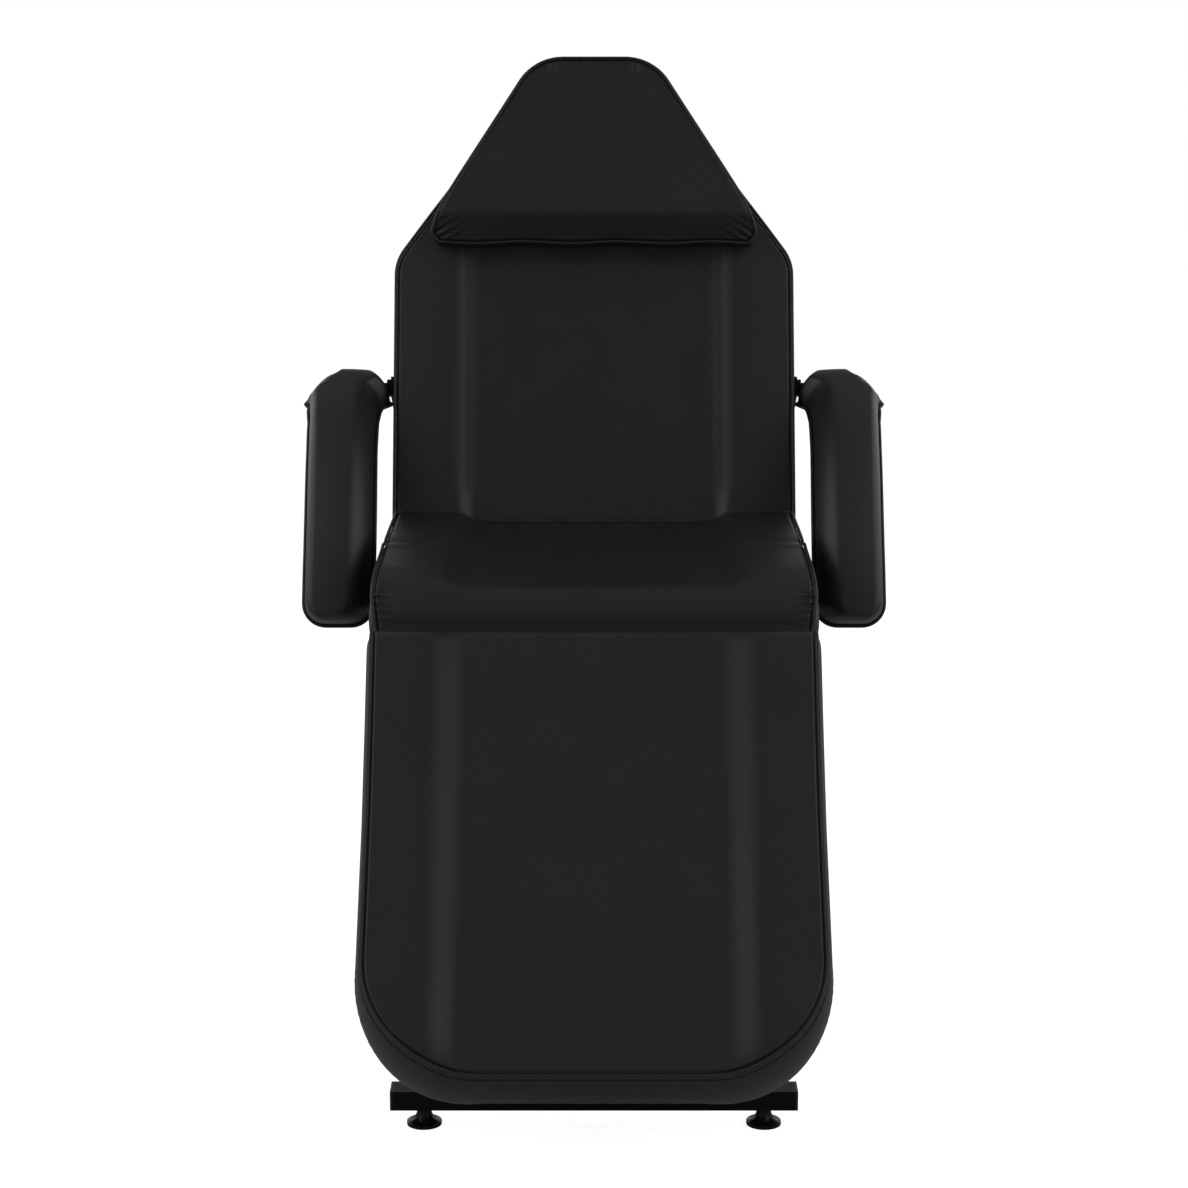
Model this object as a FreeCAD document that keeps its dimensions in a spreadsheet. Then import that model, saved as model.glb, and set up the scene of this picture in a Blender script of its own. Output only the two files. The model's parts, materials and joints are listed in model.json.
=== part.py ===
import FreeCAD, Part
import os
import re
import Sketcher

# Three-section beauty bed in its chair pose: seat on a steel base, reclining backrest, hanging leg rest.
# Millimetres. X to the viewer's right, the sitter faces -Y, Z up, origin on the floor below the middle.

doc = FreeCAD.newDocument("BeautyBed")
sheet = doc.addObject("Spreadsheet::Sheet", "Sizes")

DRIVING = {
    # Cushions and boards
    "seat_height": 629, "seat_front": -138.4, "seat_depth": 456, "seat_width": 589, "pad_thick": 85,
    "board_thick": 15, "board_inset": 6, "bolster_rise": 11, "bolster_width": 85, "bolster_slope": 48,
    "dish_end": 40, "edge_round": 20, "corner_round": 30, "draw_in": 4, "seat_roll": 36, "section_gap": 6,
    "seat_back_gap": 18, "soft_gap": 0.3, "sweep_clear": 2,
    # Backrest and pillow
    "back_angle": 70, "back_sink": 100, "back_reach": 705, "back_width": 586, "back_top_width": 174,
    "shoulder_reach": 391, "shoulder_round": 60, "top_round": 70, "pillow_reach": 424, "pillow_width": 482,
    "pillow_top_width": 150, "pillow_thick": 54, "pillow_top_thick": 30, "pillow_top_gap": 6,
    "pillow_round": 24, "pillow_edge": 20,
    # Leg rest
    "leg_angle": 48, "leg_sink": 122, "leg_reach": 600, "leg_width": 576, "leg_round": 125,
    # Base frame
    "tube_side": 30, "rail_side": 25, "wall": 2, "leg_spread": 190, "front_bar_y": -422, "bar_span": 506,
    "bar_deep": 35, "bar_high": 25, "cap_thick": 3, "front_leg_top": -40, "leg_top_gap": 2,
    "side_rail_z": 323, "seat_tube_inset": 25, "seat_rail_inset": 13, "rail_clear": 4.5, "lug_thick": 12,
    "eye_round": 13, "lug_drop": 45, "lug_length": 40, "lug_gap": 0.5,
    # Levelling feet
    "foot_high": 24, "foot_spread": 214, "foot_round": 22, "foot_rim": 4, "foot_bow": 4.5, "neck_round": 9.5,
    "neck_high": 3, "stem_round": 5, "stem_high": 46, "stem_gap": 0.1,
    # Fasteners
    "hinge_round": 6, "pin_gap": 0.05, "head_round": 10, "head_high": 6, "bolt_round": 4, "bolt_head": 6.5,
    "screw_round": 2.5, "screw_head": 5, "screw_head_high": 3, "screw_bite": 10,
    # Section frames
    "back_rail_length": 560, "back_rail_tail": 12, "leg_rail_length": 500, "leg_rail_start": 15,
    "end_tube_inset": 30,
    # Ratchet struts
    "back_pin_reach": 200, "back_pin_drop": 30, "back_anchor_angle": 80, "anchor_reach": 60,
    "leg_pin_reach": 170, "leg_pin_drop": 5, "leg_apex": 80,
    "ear_thick": 5, "ear_round": 12, "pivot_round": 5,
    "channel_width": 20, "channel_sheet": 2, "channel_floor": 12, "channel_high": 26, "channel_tail": 12,
    "toothed_width": 10, "toothed_half": 9, "back_channel": 212, "back_toothed": 200, "leg_channel": 165,
    "leg_toothed": 182, "pawl_inset": 24, "pawl_arm": 24, "pawl_lift": 17, "pawl_half": 3.5, "pawl_width": 8,
    "trunnion_round": 3, "tooth_depth": 4.2, "nose_half": 1, "tip_gap": 0.3, "strap_length": 10,
    "strap_inset": 36, "leaf_thick": 0.8, "leaf_width": 7, "leaf_length": 34,
    "back_teeth": 12, "leg_teeth": 8,
    # Armrests
    "arm_radius": 388, "arm_rear_angle": 6, "arm_sweep": 68.5, "spigot_rise": 10.6,
    "spigot_angle": 6.57, "arm_width": 112, "arm_edge": 12, "arm_crown": 46, "arm_corner": 30,
    "core_inset": 20, "core_thick": 20, "core_end_angle": 3, "spigot_round": 8, "spigot_bite": 45,
    "arm_pivot_reach": 209, "arm_pivot_rise": 55, "plate_thick": 4, "plate_side_gap": 3.5, "boss_length": 6.5,
    "plate_half": 36, "plate_front": 22, "boss_round": 13, "arm_tube_reach": 210,
    # One overrun for every cut, and how near two points count as one
    "overrun": 5, "match": 0.01,
}

DERIVED = {
    "pad_under": "seat_height - pad_thick",
    "foam_thick": "pad_thick - board_thick",
    "back_lead": "back_sink * tan(back_angle / 2)",
    "back_hinge_y": "seat_front + seat_depth + back_lead",
    "back_hinge_z": "seat_height - back_sink",
    "leg_hinge_y": "seat_front - section_gap",
    "leg_hinge_z": "seat_height - leg_sink",
    "back_board": "back_sink - pad_thick",
    "leg_board": "leg_sink - pad_thick",
    "back_low": "-back_lead + section_gap",
    "back_high": "back_lead + back_reach",
    "back_sweep": "sqrt(back_low ^ 2 + (back_sink + bolster_rise) ^ 2) + sweep_clear",
    "seat_rear": "seat_front + seat_depth - seat_back_gap",
    "bar_top": "foot_high + bar_high",
    "rail_x": "leg_spread - tube_side",
    "rail_in": "rail_x - tube_side / 2",
    "leg_in": "leg_spread - tube_side / 2",
    "section_x": "leg_in - rail_clear - rail_side / 2",
    "section_in": "section_x - rail_side / 2",
    "seat_rail_start": "seat_front + seat_rail_inset",
    "leg_rise": "pad_under - leg_top_gap - bar_top",
    "leg_slope": "atan(leg_rise / (front_leg_top - front_bar_y)) / 1deg",
    "leg_cut": "tube_side / 2 / sin(leg_slope)",
    "leg_bore": "(tube_side / 2 - wall) / sin(leg_slope)",
    "back_arm": "sqrt(back_pin_reach ^ 2 + back_pin_drop ^ 2)",
    "back_pin_angle": "back_angle - atan(back_pin_drop / back_pin_reach) / 1deg",
    "back_apex": "back_pin_angle + back_anchor_angle",
    "back_anchor_y": "back_hinge_y + back_arm * cos(back_anchor_angle)",
    "back_anchor_z": "back_hinge_z - back_arm * sin(back_anchor_angle)",
    "back_pin_y": "back_hinge_y + back_arm * cos(back_pin_angle)",
    "back_pin_z": "back_hinge_z + back_arm * sin(back_pin_angle)",
    "back_strut": "2 * back_arm * sin(back_apex / 2)",
    "back_strut_angle": "(back_pin_angle - back_anchor_angle) / 2 + 90",
    "back_stroke": "back_strut - 2 * back_arm * sin((back_apex - back_angle) / 2)",
    "leg_arm": "sqrt(leg_pin_reach ^ 2 + leg_pin_drop ^ 2)",
    "leg_pin_angle": "180 + leg_angle + atan(leg_pin_drop / leg_pin_reach) / 1deg",
    "leg_anchor_y": "leg_hinge_y + leg_arm * cos(leg_pin_angle + leg_apex)",
    "leg_anchor_z": "leg_hinge_z + leg_arm * sin(leg_pin_angle + leg_apex)",
    "leg_pin_y": "leg_hinge_y + leg_arm * cos(leg_pin_angle)",
    "leg_pin_z": "leg_hinge_z + leg_arm * sin(leg_pin_angle)",
    "leg_strut": "2 * leg_arm * sin(leg_apex / 2)",
    "leg_strut_angle": "leg_pin_angle + leg_apex / 2 - 90",
    "leg_stroke": "2 * leg_arm * sin((leg_apex + leg_angle) / 2) - leg_strut",
    "ear_x": "channel_width / 2 + lug_gap",
    "plate_in": "max(seat_width; back_width) / 2 + plate_side_gap",
    "plate_out": "plate_in + plate_thick",
    "arm_inner": "plate_out + boss_length + lug_gap",
    "arm_pivot_along": "back_lead + arm_pivot_reach",
    "arm_pivot_y": "back_hinge_y + arm_pivot_along * cos(back_angle) - arm_pivot_rise * sin(back_angle)",
    "arm_pivot_z": "back_hinge_z + arm_pivot_along * sin(back_angle) + arm_pivot_rise * cos(back_angle)",
    "arm_axis_y": "arm_pivot_y + (arm_radius + spigot_rise) * sin(spigot_angle)",
    "arm_axis_z": "arm_pivot_z - (arm_radius + spigot_rise) * cos(spigot_angle)",
}

for row, (alias, number) in enumerate(DRIVING.items(), start=1):
    sheet.set(f"A{row}", str(number))
    sheet.setAlias(f"A{row}", alias)
for row, (alias, formula) in enumerate(DERIVED.items(), start=1):
    sheet.set(f"B{row}", "=" + formula)
    sheet.setAlias(f"B{row}", alias)
doc.recompute()

ALIASES = set(DRIVING) | set(DERIVED)
AXES = ("x", "y", "z")
nodes = []


# Helpers that tie shapes to the sheet

def full(formula):
    """Write a formula of sheet aliases so that any object can use it."""
    return re.sub(r"[a-z]\w*", lambda m: "Sizes." + m[0] if m[0] in ALIASES else m[0], str(formula))


def value(formula):
    found = sheet.evalExpression(full(formula))
    return float(getattr(found, "Value", found))


def bind(thing, **sizes):
    for name, formula in sizes.items():
        thing.setExpression(name, full(formula))
    return thing


def place(thing, x="0", y="0", z="0", angle="0"):
    """Set a thing by formulas: a turn about X, then a shift."""
    thing.Placement = FreeCAD.Placement(FreeCAD.Vector(), FreeCAD.Rotation(FreeCAD.Vector(1, 0, 0), 1))
    for axis, formula in zip(AXES, (x, y, z)):
        thing.setExpression(".Placement.Base." + axis, full(formula))
    thing.setExpression(".Placement.Rotation.Angle", full(angle))
    return thing


def node(thing, label, frame=None):
    """Name a finished sub-part and set it in its section's frame."""
    thing.Label = label
    if frame:
        place(thing, **frame)
    nodes.append(thing)
    return thing


BACK = {"y": "back_hinge_y", "z": "back_hinge_z", "angle": "back_angle"}
LEG = {"y": "leg_hinge_y", "z": "leg_hinge_z", "angle": "leg_angle"}


def block(low, size):
    solid = doc.addObject("Part::Box", "Block")
    bind(solid, Length=size[0], Width=size[1], Height=size[2])
    return place(solid, *low)


def cut(base, *tools):
    for tool in tools:
        result = doc.addObject("Part::Cut", "Cut")
        result.Base = base
        result.Tool = tool
        base = result
    return base


def joined(*solids):
    result = doc.addObject("Part::MultiFuse", "Weld")
    result.Shapes = list(solids)
    return result


def group(*solids):
    result = doc.addObject("Part::Compound", "Group")
    result.Links = list(solids)
    return result


def mirrored(solid):
    result = doc.addObject("Part::Mirroring", "Mirror")
    result.Source = solid
    result.Normal = FreeCAD.Vector(1, 0, 0)
    return result


def pair(solid):
    return group(solid, mirrored(solid))


def tube(axis, low, size):
    """Open rectangular tube: a block with its bore cut through along one axis."""
    bore_low, bore_size = [], []
    for i, (at, wide) in enumerate(zip(low, size)):
        bore_low.append(f"{at} - overrun" if i == axis else f"{at} + wall")
        bore_size.append(f"{wide} + 2 * overrun" if i == axis else f"{wide} - 2 * wall")
    return cut(block(low, size), block(bore_low, bore_size))


def rod(radius, start, end, y, z):
    """Round bar along X."""
    solid = doc.addObject("Part::Cylinder", "Rod")
    bind(solid, Radius=radius, Height=f"{end} - ({start})")
    solid.Placement = FreeCAD.Placement(FreeCAD.Vector(), FreeCAD.Rotation(FreeCAD.Vector(0, 1, 0), 90))
    for axis, formula in zip(AXES, (start, y, z)):
        solid.setExpression(".Placement.Base." + axis, full(formula))
    return solid


def bolt(shank, head, head_high, start, end, y, z):
    """Bolt along X with a head at its outer end and a nut at its inner end."""
    low, high = f"{start} - {head_high}", f"{end} + {head_high}"
    return joined(rod(shank, low, end, y, z), rod(head, end, high, y, z), rod(head, low, start, y, z))


# Helpers that draw profiles

def body(name):
    return doc.addObject("PartDesign::Body", name)


def draw(solid, plane, corners=(), rounds=(), offset="0"):
    """Sketch a closed outline and round holes. A corner's third value bows the side after it by that much."""
    sketch = solid.newObject("Sketcher::SketchObject", "Profile")
    role = next(f for f in solid.Origin.OriginFeatures if f.Role == plane)
    sketch.AttachmentSupport = [(role, "")]
    sketch.MapMode = "FlatFace"
    sketch.setExpression(".AttachmentOffset.Base.z", full(offset))
    spots = [FreeCAD.Vector(value(c[0]), value(c[1]), 0) for c in corners]
    count = len(spots)
    for i, corner in enumerate(corners):
        here, there = spots[i], spots[(i + 1) % count]
        if len(corner) == 3:
            along = there - here
            side = FreeCAD.Vector(-along.y, along.x, 0).normalize()
            middle = (here + there) * 0.5 + side * value(corner[2])
            arc = Part.Arc(here, middle, there)
            sketch.addGeometry(arc, False)
        else:
            sketch.addGeometry(Part.LineSegment(here, there), False)
    ends = []
    for i, here in enumerate(spots):
        first = (sketch.getPoint(i, 1) - here).Length < (sketch.getPoint(i, 2) - here).Length
        ends.append((1, 2) if first else (2, 1))
    for i, corner in enumerate(corners):
        after = (i + 1) % count
        sketch.addConstraint(Sketcher.Constraint("Coincident", i, ends[i][1], after, ends[after][0]))
        for kind, formula in (("DistanceX", corner[0]), ("DistanceY", corner[1])):
            which = sketch.addConstraint(Sketcher.Constraint(kind, -1, 1, i, ends[i][0], value(formula)))
            sketch.setExpression(f"Constraints[{which}]", full(formula))
        if len(corner) == 3:
            x, y = corners[after][:2]
            chord = f"(({x}) - ({corner[0]})) ^ 2 + (({y}) - ({corner[1]})) ^ 2"
            bend = f"({chord} + 4 * ({corner[2]}) ^ 2) / (8 * abs({corner[2]}))"
            which = sketch.addConstraint(Sketcher.Constraint("Radius", i, value(bend)))
            sketch.setExpression(f"Constraints[{which}]", full(bend))
    for x, y, radius in rounds:
        centre = FreeCAD.Vector(value(x), value(y), 0)
        i = sketch.addGeometry(Part.Circle(centre, FreeCAD.Vector(0, 0, 1), value(radius)), False)
        for kind, formula in (("DistanceX", x), ("DistanceY", y)):
            which = sketch.addConstraint(Sketcher.Constraint(kind, -1, 1, i, 3, value(formula)))
            sketch.setExpression(f"Constraints[{which}]", full(formula))
        which = sketch.addConstraint(Sketcher.Constraint("Radius", i, value(radius)))
        sketch.setExpression(f"Constraints[{which}]", full(radius))
    return sketch


def pad(solid, sketch, length, middle=False):
    feature = solid.newObject("PartDesign::Pad", "Pad")
    feature.Profile = sketch
    feature.Midplane = middle
    bind(feature, Length=length)
    doc.recompute()
    return feature


def pocket(solid, sketch, length):
    feature = solid.newObject("PartDesign::Pocket", "Pocket")
    feature.Profile = sketch
    feature.Midplane = True
    bind(feature, Length=length)
    doc.recompute()
    return feature


def turned(solid, sketch, axis, angle):
    feature = solid.newObject("PartDesign::Revolution", "Turned")
    feature.Profile = sketch
    feature.ReferenceAxis = (sketch, [axis])
    bind(feature, Angle=angle)
    doc.recompute()
    return feature


def soften(solid, radius, chosen):
    """Round the edges of a body's last feature that the test chooses."""
    last = solid.Tip
    feature = solid.newObject("PartDesign::Fillet", "Soft")
    names = [f"Edge{i}" for i, edge in enumerate(last.Shape.Edges, start=1) if chosen(edge)]
    feature.Base = (last, names)
    bind(feature, Radius=radius)
    doc.recompute()
    return feature


def upright(edge):
    """An edge along Z."""
    ends = [v.Point for v in edge.Vertexes]
    return len(ends) == 2 and abs((ends[1] - ends[0]).normalize().z) > 0.999


def along_x(edge):
    """An edge along X."""
    ends = [v.Point for v in edge.Vertexes]
    return len(ends) == 2 and abs((ends[1] - ends[0]).normalize().x) > 0.999


def level_at(height):
    """A test for edges that lie in one level plane."""
    at, near = value(height), value("match")
    return lambda edge: all(abs(v.Z - at) < near for v in edge.Vertexes)


def plate(name, corners, start, thick):
    """Plate with an outline in the YZ plane and its thickness along X."""
    solid = body(name)
    pad(solid, draw(solid, "YZ_Plane", corners, offset=start), thick)
    return solid


def eye_lug(name, foot, start, thick, bore, y="0", z="0"):
    """Plate from a two-point foot to a round eye about (y, z)."""
    web = plate(name, [foot[0], foot[1], (f"{y} + eye_round", z), (f"{y} - eye_round", z)], start, thick)
    eye = rod("eye_round", start, f"{start} + {thick}", y, z)
    hole = rod(bore, f"{start} - overrun", f"{start} + {thick} + overrun", y, z)
    return web, eye, hole


# Cushions

def dish(low_y, high_y, top, width, open_low, open_high):
    """Tool for a shallow dish between two bolsters: sloped sides, and sloped ends where they are closed."""
    solid = doc.addObject("Part::Wedge", "Dish")
    floor = f"({width}) / 2 - bolster_width - bolster_slope"
    rim = f"({width}) / 2 - bolster_width"
    sizes = {"Ymin": "0", "Ymax": "bolster_rise", "Xmin": f"-({floor})", "Xmax": floor, "X2min": f"-({rim})",
             "X2max": rim}
    bind(solid, **sizes)
    low_end = f"-({low_y}) + overrun" if open_low else f"-({low_y}) - dish_end"
    high_end = f"-({high_y}) - overrun" if open_high else f"-({high_y}) + dish_end"
    low_rim = low_end if open_low else f"{low_end} + dish_end"
    high_rim = high_end if open_high else f"{high_end} - dish_end"
    bind(solid, Zmin=high_end, Zmax=low_end, Z2min=high_rim, Z2max=low_rim)
    return place(solid, z=f"({top}) - bolster_rise", angle="90")


def cushion(name, outline, low, width, corner_rounds, dish_span, dish_open):
    """Boxed cushion: bowed sides, rounded corners, a soft top edge and a dish between its bolsters."""
    solid = body(name)
    top = f"{low} + foam_thick + bolster_rise"
    pad(solid, draw(solid, "XY_Plane", outline, offset=low), "foam_thick + bolster_rise")
    for radius, chosen in corner_rounds:
        soften(solid, radius, lambda edge, chosen=chosen: upright(edge) and chosen(edge.Vertexes[0].Point))
    soften(solid, "edge_round", level_at(top))
    return cut(solid, dish(*dish_span, top, width, *dish_open))


def seat_section():
    half = "seat_width / 2"
    outline = [(f"-{half}", "seat_front"), (half, "seat_front", "draw_in"), (half, "seat_rear"),
               (f"-{half}", "seat_rear", "draw_in")]
    rounds = [("corner_round", lambda p: p.y < 0)]
    foam = cushion("SeatFoam", outline, "pad_under + board_thick", "seat_width", rounds,
                   ("seat_front + seat_roll", "seat_rear"), (False, True))
    reach = "seat_width / 2 + overrun"
    swing = rod("back_sweep", f"-({reach})", reach, "back_hinge_y", "back_hinge_z")
    node(cut(foam, swing), "seat_cushion")
    board = block(("-seat_width / 2 + board_inset", "seat_front + board_inset", "pad_under"),
                  ("seat_width - 2 * board_inset", "seat_depth - seat_back_gap - board_inset", "board_thick"))
    swing = rod("back_sweep", f"-({reach})", reach, "back_hinge_y", "back_hinge_z")
    node(cut(board, swing), "seat_board")


def back_outline(inset):
    """Backrest plan: straight sides, sloped shoulders, a short top."""
    half = f"back_width / 2 - {inset}"
    top = f"back_top_width / 2 - {inset}"
    high = f"back_high - {inset}"
    low = f"back_low + {inset}"
    shoulder = "back_lead + shoulder_reach"
    return [(f"-({half})", low), (half, low, "draw_in"), (half, shoulder), (top, high), (f"-({top})", high),
            (f"-({half})", shoulder, "draw_in")]


def back_section():
    shoulder, near = value("back_lead + shoulder_reach"), value("match")
    rounds = [("corner_round", lambda p: p.y < 0), ("shoulder_round", lambda p: abs(p.y - shoulder) < near),
              ("top_round", lambda p: p.y > shoulder + near)]
    foam = cushion("BackFoam", back_outline("0"), "back_board + board_thick", "back_width", rounds,
                   ("back_low", "back_lead + pillow_reach"), (True, False))
    node(foam, "backrest_cushion", BACK)
    solid = body("BackBoard")
    pad(solid, draw(solid, "XY_Plane", back_outline("board_inset"), offset="back_board"), "board_thick")
    for radius, chosen in rounds:
        soften(solid, radius, lambda edge, chosen=chosen: upright(edge) and chosen(edge.Vertexes[0].Point))
    node(solid, "backrest_board", BACK)
    head_pillow()


def head_pillow():
    """Wedge that rests on the top of the backrest: thick at its lower end, thin at its top."""
    low = "back_lead + pillow_reach"
    high = "back_high - pillow_top_gap"
    half = "pillow_width / 2"
    top = "pillow_top_width / 2"
    solid = body("Pillow")
    outline = [(f"-{half}", low, "draw_in"), (half, low), (top, high), (f"-{top}", high)]
    rest = "back_sink + bolster_rise + soft_gap"
    pad(solid, draw(solid, "XY_Plane", outline, offset=rest), "pillow_thick + overrun")
    slope = f"(pillow_thick - pillow_top_thick) / ({high} - ({low}))"
    above = f"{rest} + pillow_thick + 2 * overrun"
    start, end = f"{low} - overrun", f"{high} + overrun"
    wedge = [(start, f"{rest} + pillow_thick + overrun * {slope}"),
             (end, f"{rest} + pillow_top_thick - overrun * {slope}"), (end, above), (start, above)]
    pocket(solid, draw(solid, "YZ_Plane", wedge), "pillow_width + 2 * overrun")
    middle = value("back_lead + (pillow_reach + back_reach) / 2")
    soften(solid, "pillow_round", lambda edge: upright(edge) and edge.Vertexes[0].Y < middle)
    soften(solid, "top_round", lambda edge: upright(edge) and edge.Vertexes[0].Y > middle)
    base = value(f"{rest} + match")
    soften(solid, "pillow_edge", lambda edge: all(v.Z > base for v in edge.Vertexes))
    node(solid, "head_pillow", BACK)


def leg_outline(inset):
    half = f"leg_width / 2 - {inset}"
    return [(f"-({half})", f"-leg_reach + {inset}"), (half, f"-leg_reach + {inset}", "draw_in"),
            (half, f"-({inset})"), (f"-({half})", f"-({inset})", "draw_in")]


def leg_section():
    middle = value("-leg_reach / 2")
    rounds = [("leg_round", lambda p: p.y < middle), ("corner_round", lambda p: p.y > middle)]
    foam = cushion("LegFoam", leg_outline("0"), "leg_board + board_thick", "leg_width", rounds,
                   ("-leg_reach + dish_end", "-dish_end"), (False, False))
    node(foam, "legrest_cushion", LEG)
    solid = body("LegBoard")
    pad(solid, draw(solid, "XY_Plane", leg_outline("board_inset"), offset="leg_board"), "board_thick")
    for radius, chosen in rounds:
        soften(solid, radius, lambda edge, chosen=chosen: upright(edge) and chosen(edge.Vertexes[0].Point))
    node(solid, "legrest_board", LEG)


# Base frame

def foot_bar(label, y):
    low = ("-bar_span / 2", f"{y} - bar_deep / 2", "foot_high")
    bar = tube(0, low, ("bar_span", "bar_deep", "bar_high"))
    stems = []
    for x in ("foot_spread", "-foot_spread"):
        stems.append(standing("stem_round + stem_gap", x, y, "foot_high - overrun", "bar_high + 2 * overrun"))
    node(cut(bar, *stems), label)


def standing(radius, x, y, z, height):
    """Round bar along Z."""
    solid = doc.addObject("Part::Cylinder", "Post")
    bind(solid, Radius=radius, Height=height)
    return place(solid, x, y, z)


def levelling_foot(label, x, y):
    """Moulded foot: a hollow-sided bell from a wide rim to a neck under the bar, with its own stem."""
    solid = body("Foot")
    stem_top = "foot_high + stem_high"
    corners = [("0", "0"), ("foot_round", "0"), ("foot_round", "foot_rim", "foot_bow"),
               ("neck_round", "foot_high - neck_high"), ("neck_round", "foot_high"),
               ("stem_round", "foot_high"), ("stem_round", stem_top), ("0", stem_top)]
    turned(solid, draw(solid, "XZ_Plane", corners), "V_Axis", "360")
    node(solid, label, {"x": x, "y": y})


def base_frame():
    rear_y = "back_hinge_y"
    foot_bar("front_foot_bar", "front_bar_y")
    foot_bar("rear_foot_bar", rear_y)
    caps = []
    for y in ("front_bar_y", rear_y):
        low = ("bar_span / 2", f"{y} - bar_deep / 2", "foot_high")
        caps.append(block(low, ("cap_thick", "bar_deep", "bar_high")))
    node(group(*caps, *[mirrored(c) for c in caps]), "foot_bar_end_caps")
    for label, y in (("front", "front_bar_y"), ("rear", rear_y)):
        levelling_foot(f"levelling_foot_{label}_right", "foot_spread", y)
        levelling_foot(f"levelling_foot_{label}_left", "-foot_spread", y)
    front_leg = body("FrontLeg")
    high = "pad_under - leg_top_gap"
    leg = [("front_bar_y - leg_cut", "bar_top"), ("front_bar_y + leg_cut", "bar_top"),
           ("front_leg_top + leg_cut", high), ("front_leg_top - leg_cut", high)]
    pad(front_leg, draw(front_leg, "YZ_Plane", leg, offset="leg_spread"), "tube_side", True)
    past = "overrun / tan(leg_slope)"
    bore = [(f"front_bar_y - leg_bore - {past}", "bar_top - overrun"),
            (f"front_bar_y + leg_bore - {past}", "bar_top - overrun"),
            (f"front_leg_top + leg_bore + {past}", f"{high} + overrun"),
            (f"front_leg_top - leg_bore + {past}", f"{high} + overrun")]
    pocket(front_leg, draw(front_leg, "YZ_Plane", bore, offset="leg_spread"), "tube_side - 2 * wall")
    rail_mid = "pad_under - tube_side / 2"
    at_rail = f"front_bar_y + ({rail_mid} - bar_top) / tan(leg_slope)"
    at_side = "front_bar_y + (side_rail_z - bar_top) / tan(leg_slope)"
    joints = [(at_rail, rail_mid), (at_side, "side_rail_z"), (rear_y, "side_rail_z")]
    outside = "leg_spread + tube_side / 2"

    def bolt_hole(spot):
        return rod("bolt_round", "rail_in - overrun", f"{outside} + overrun", *spot)

    front_right = cut(front_leg, bolt_hole(joints[0]), bolt_hole(joints[1]))
    node(front_right, "front_leg_right")
    node(mirrored(front_right), "front_leg_left")
    post = tube(2, ("leg_in", f"{rear_y} - tube_side / 2", "bar_top"),
                ("tube_side", "tube_side", "back_hinge_z - 2 * eye_round - bar_top"))
    lug_low = "back_hinge_z - 2 * eye_round - lug_drop"
    lug_in = "section_x + rail_side / 2 + lug_gap"
    lug_foot = [(f"{rear_y} - eye_round", lug_low), (f"{rear_y} + eye_round", lug_low)]
    web, eye, hole = eye_lug("BackLug", lug_foot, lug_in, "lug_thick", "hinge_round", rear_y, "back_hinge_z")
    rear_right = cut(joined(post, web, eye), hole, bolt_hole(joints[2]))
    node(rear_right, "rear_leg_right")
    node(mirrored(rear_right), "rear_leg_left")
    side_low = f"{at_side} - 2 * leg_cut"
    side_size = ("tube_side", f"{rear_y} + tube_side / 2 - ({side_low})", "tube_side")
    side = cut(tube(1, ("rail_in", side_low, "side_rail_z - tube_side / 2"), side_size),
               bolt_hole(joints[1]), bolt_hole(joints[2]))
    node(pair(side), "side_rails")
    rail_end = "back_hinge_y - back_sweep - overrun"
    rail = tube(1, ("rail_in", "seat_rail_start", "pad_under - tube_side"),
                ("tube_side", f"{rail_end} - seat_rail_start", "tube_side"))
    lug_end = "seat_rail_start + lug_length"
    lug = [(lug_end, "pad_under - tube_side + wall"), (lug_end, "pad_under - wall"),
           ("seat_rail_start", "pad_under - wall"), ("leg_hinge_y", "leg_hinge_z + eye_round"),
           ("leg_hinge_y", "leg_hinge_z - eye_round")]
    web = plate("SeatLug", lug, lug_in, "lug_thick")
    leg_hinge = ("leg_hinge_y", "leg_hinge_z")
    eye = rod("eye_round", lug_in, f"{lug_in} + lug_thick", *leg_hinge)
    hole = rod("hinge_round", f"{lug_in} - overrun", f"{lug_in} + lug_thick + overrun", *leg_hinge)
    screw_spots = ("seat_rail_start + lug_length + 3 * tube_side", f"{rail_end} - 2 * tube_side")
    screws, screw_holes = board_screws("rail_x", screw_spots, "pad_under", "tube_side")
    node(pair(cut(joined(rail, web, eye), hole, bolt_hole(joints[0]), *screw_holes)), "seat_rails")
    node(screws, "seat_screws")
    post_low = "side_rail_z + tube_side / 2"
    post = tube(2, ("rail_in", f"{rail_end} - tube_side", post_low),
                ("tube_side", "tube_side", f"pad_under - tube_side - ({post_low})"))
    node(pair(post), "seat_posts")
    cross = []
    for y in ("seat_rail_start + seat_tube_inset", f"{rail_end} - tube_side"):
        low = ("-rail_in", y, "pad_under - tube_side")
        cross.append(tube(0, low, ("2 * rail_in", "tube_side", "tube_side")))
    node(group(*cross), "seat_cross_tubes")
    inside = "(tube_side / 2 - wall)"
    behind = f"back_anchor_y - anchor_reach + {inside}"
    above = f"side_rail_z + {inside}"
    anchor("back_strut_anchor", "back_anchor_y - anchor_reach",
           [(behind, f"side_rail_z - {inside}"), (behind, above),
            ("back_anchor_y", "back_anchor_z + ear_round"), ("back_anchor_y", "back_anchor_z - ear_round")],
           "back_anchor_y", "back_anchor_z")
    anchor("leg_strut_anchor", "leg_anchor_y",
           [("leg_anchor_y - ear_round", above), ("leg_anchor_y + ear_round", above),
            ("leg_anchor_y + ear_round", "leg_anchor_z"), ("leg_anchor_y - ear_round", "leg_anchor_z")],
           "leg_anchor_y", "leg_anchor_z")
    bolts = [bolt("bolt_round", "bolt_head", "bolt_round", "rail_in", outside, *spot) for spot in joints]
    node(group(*bolts, *[mirrored(b) for b in bolts]), "frame_bolts")
    lug_out = f"{lug_in} + lug_thick"
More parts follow.
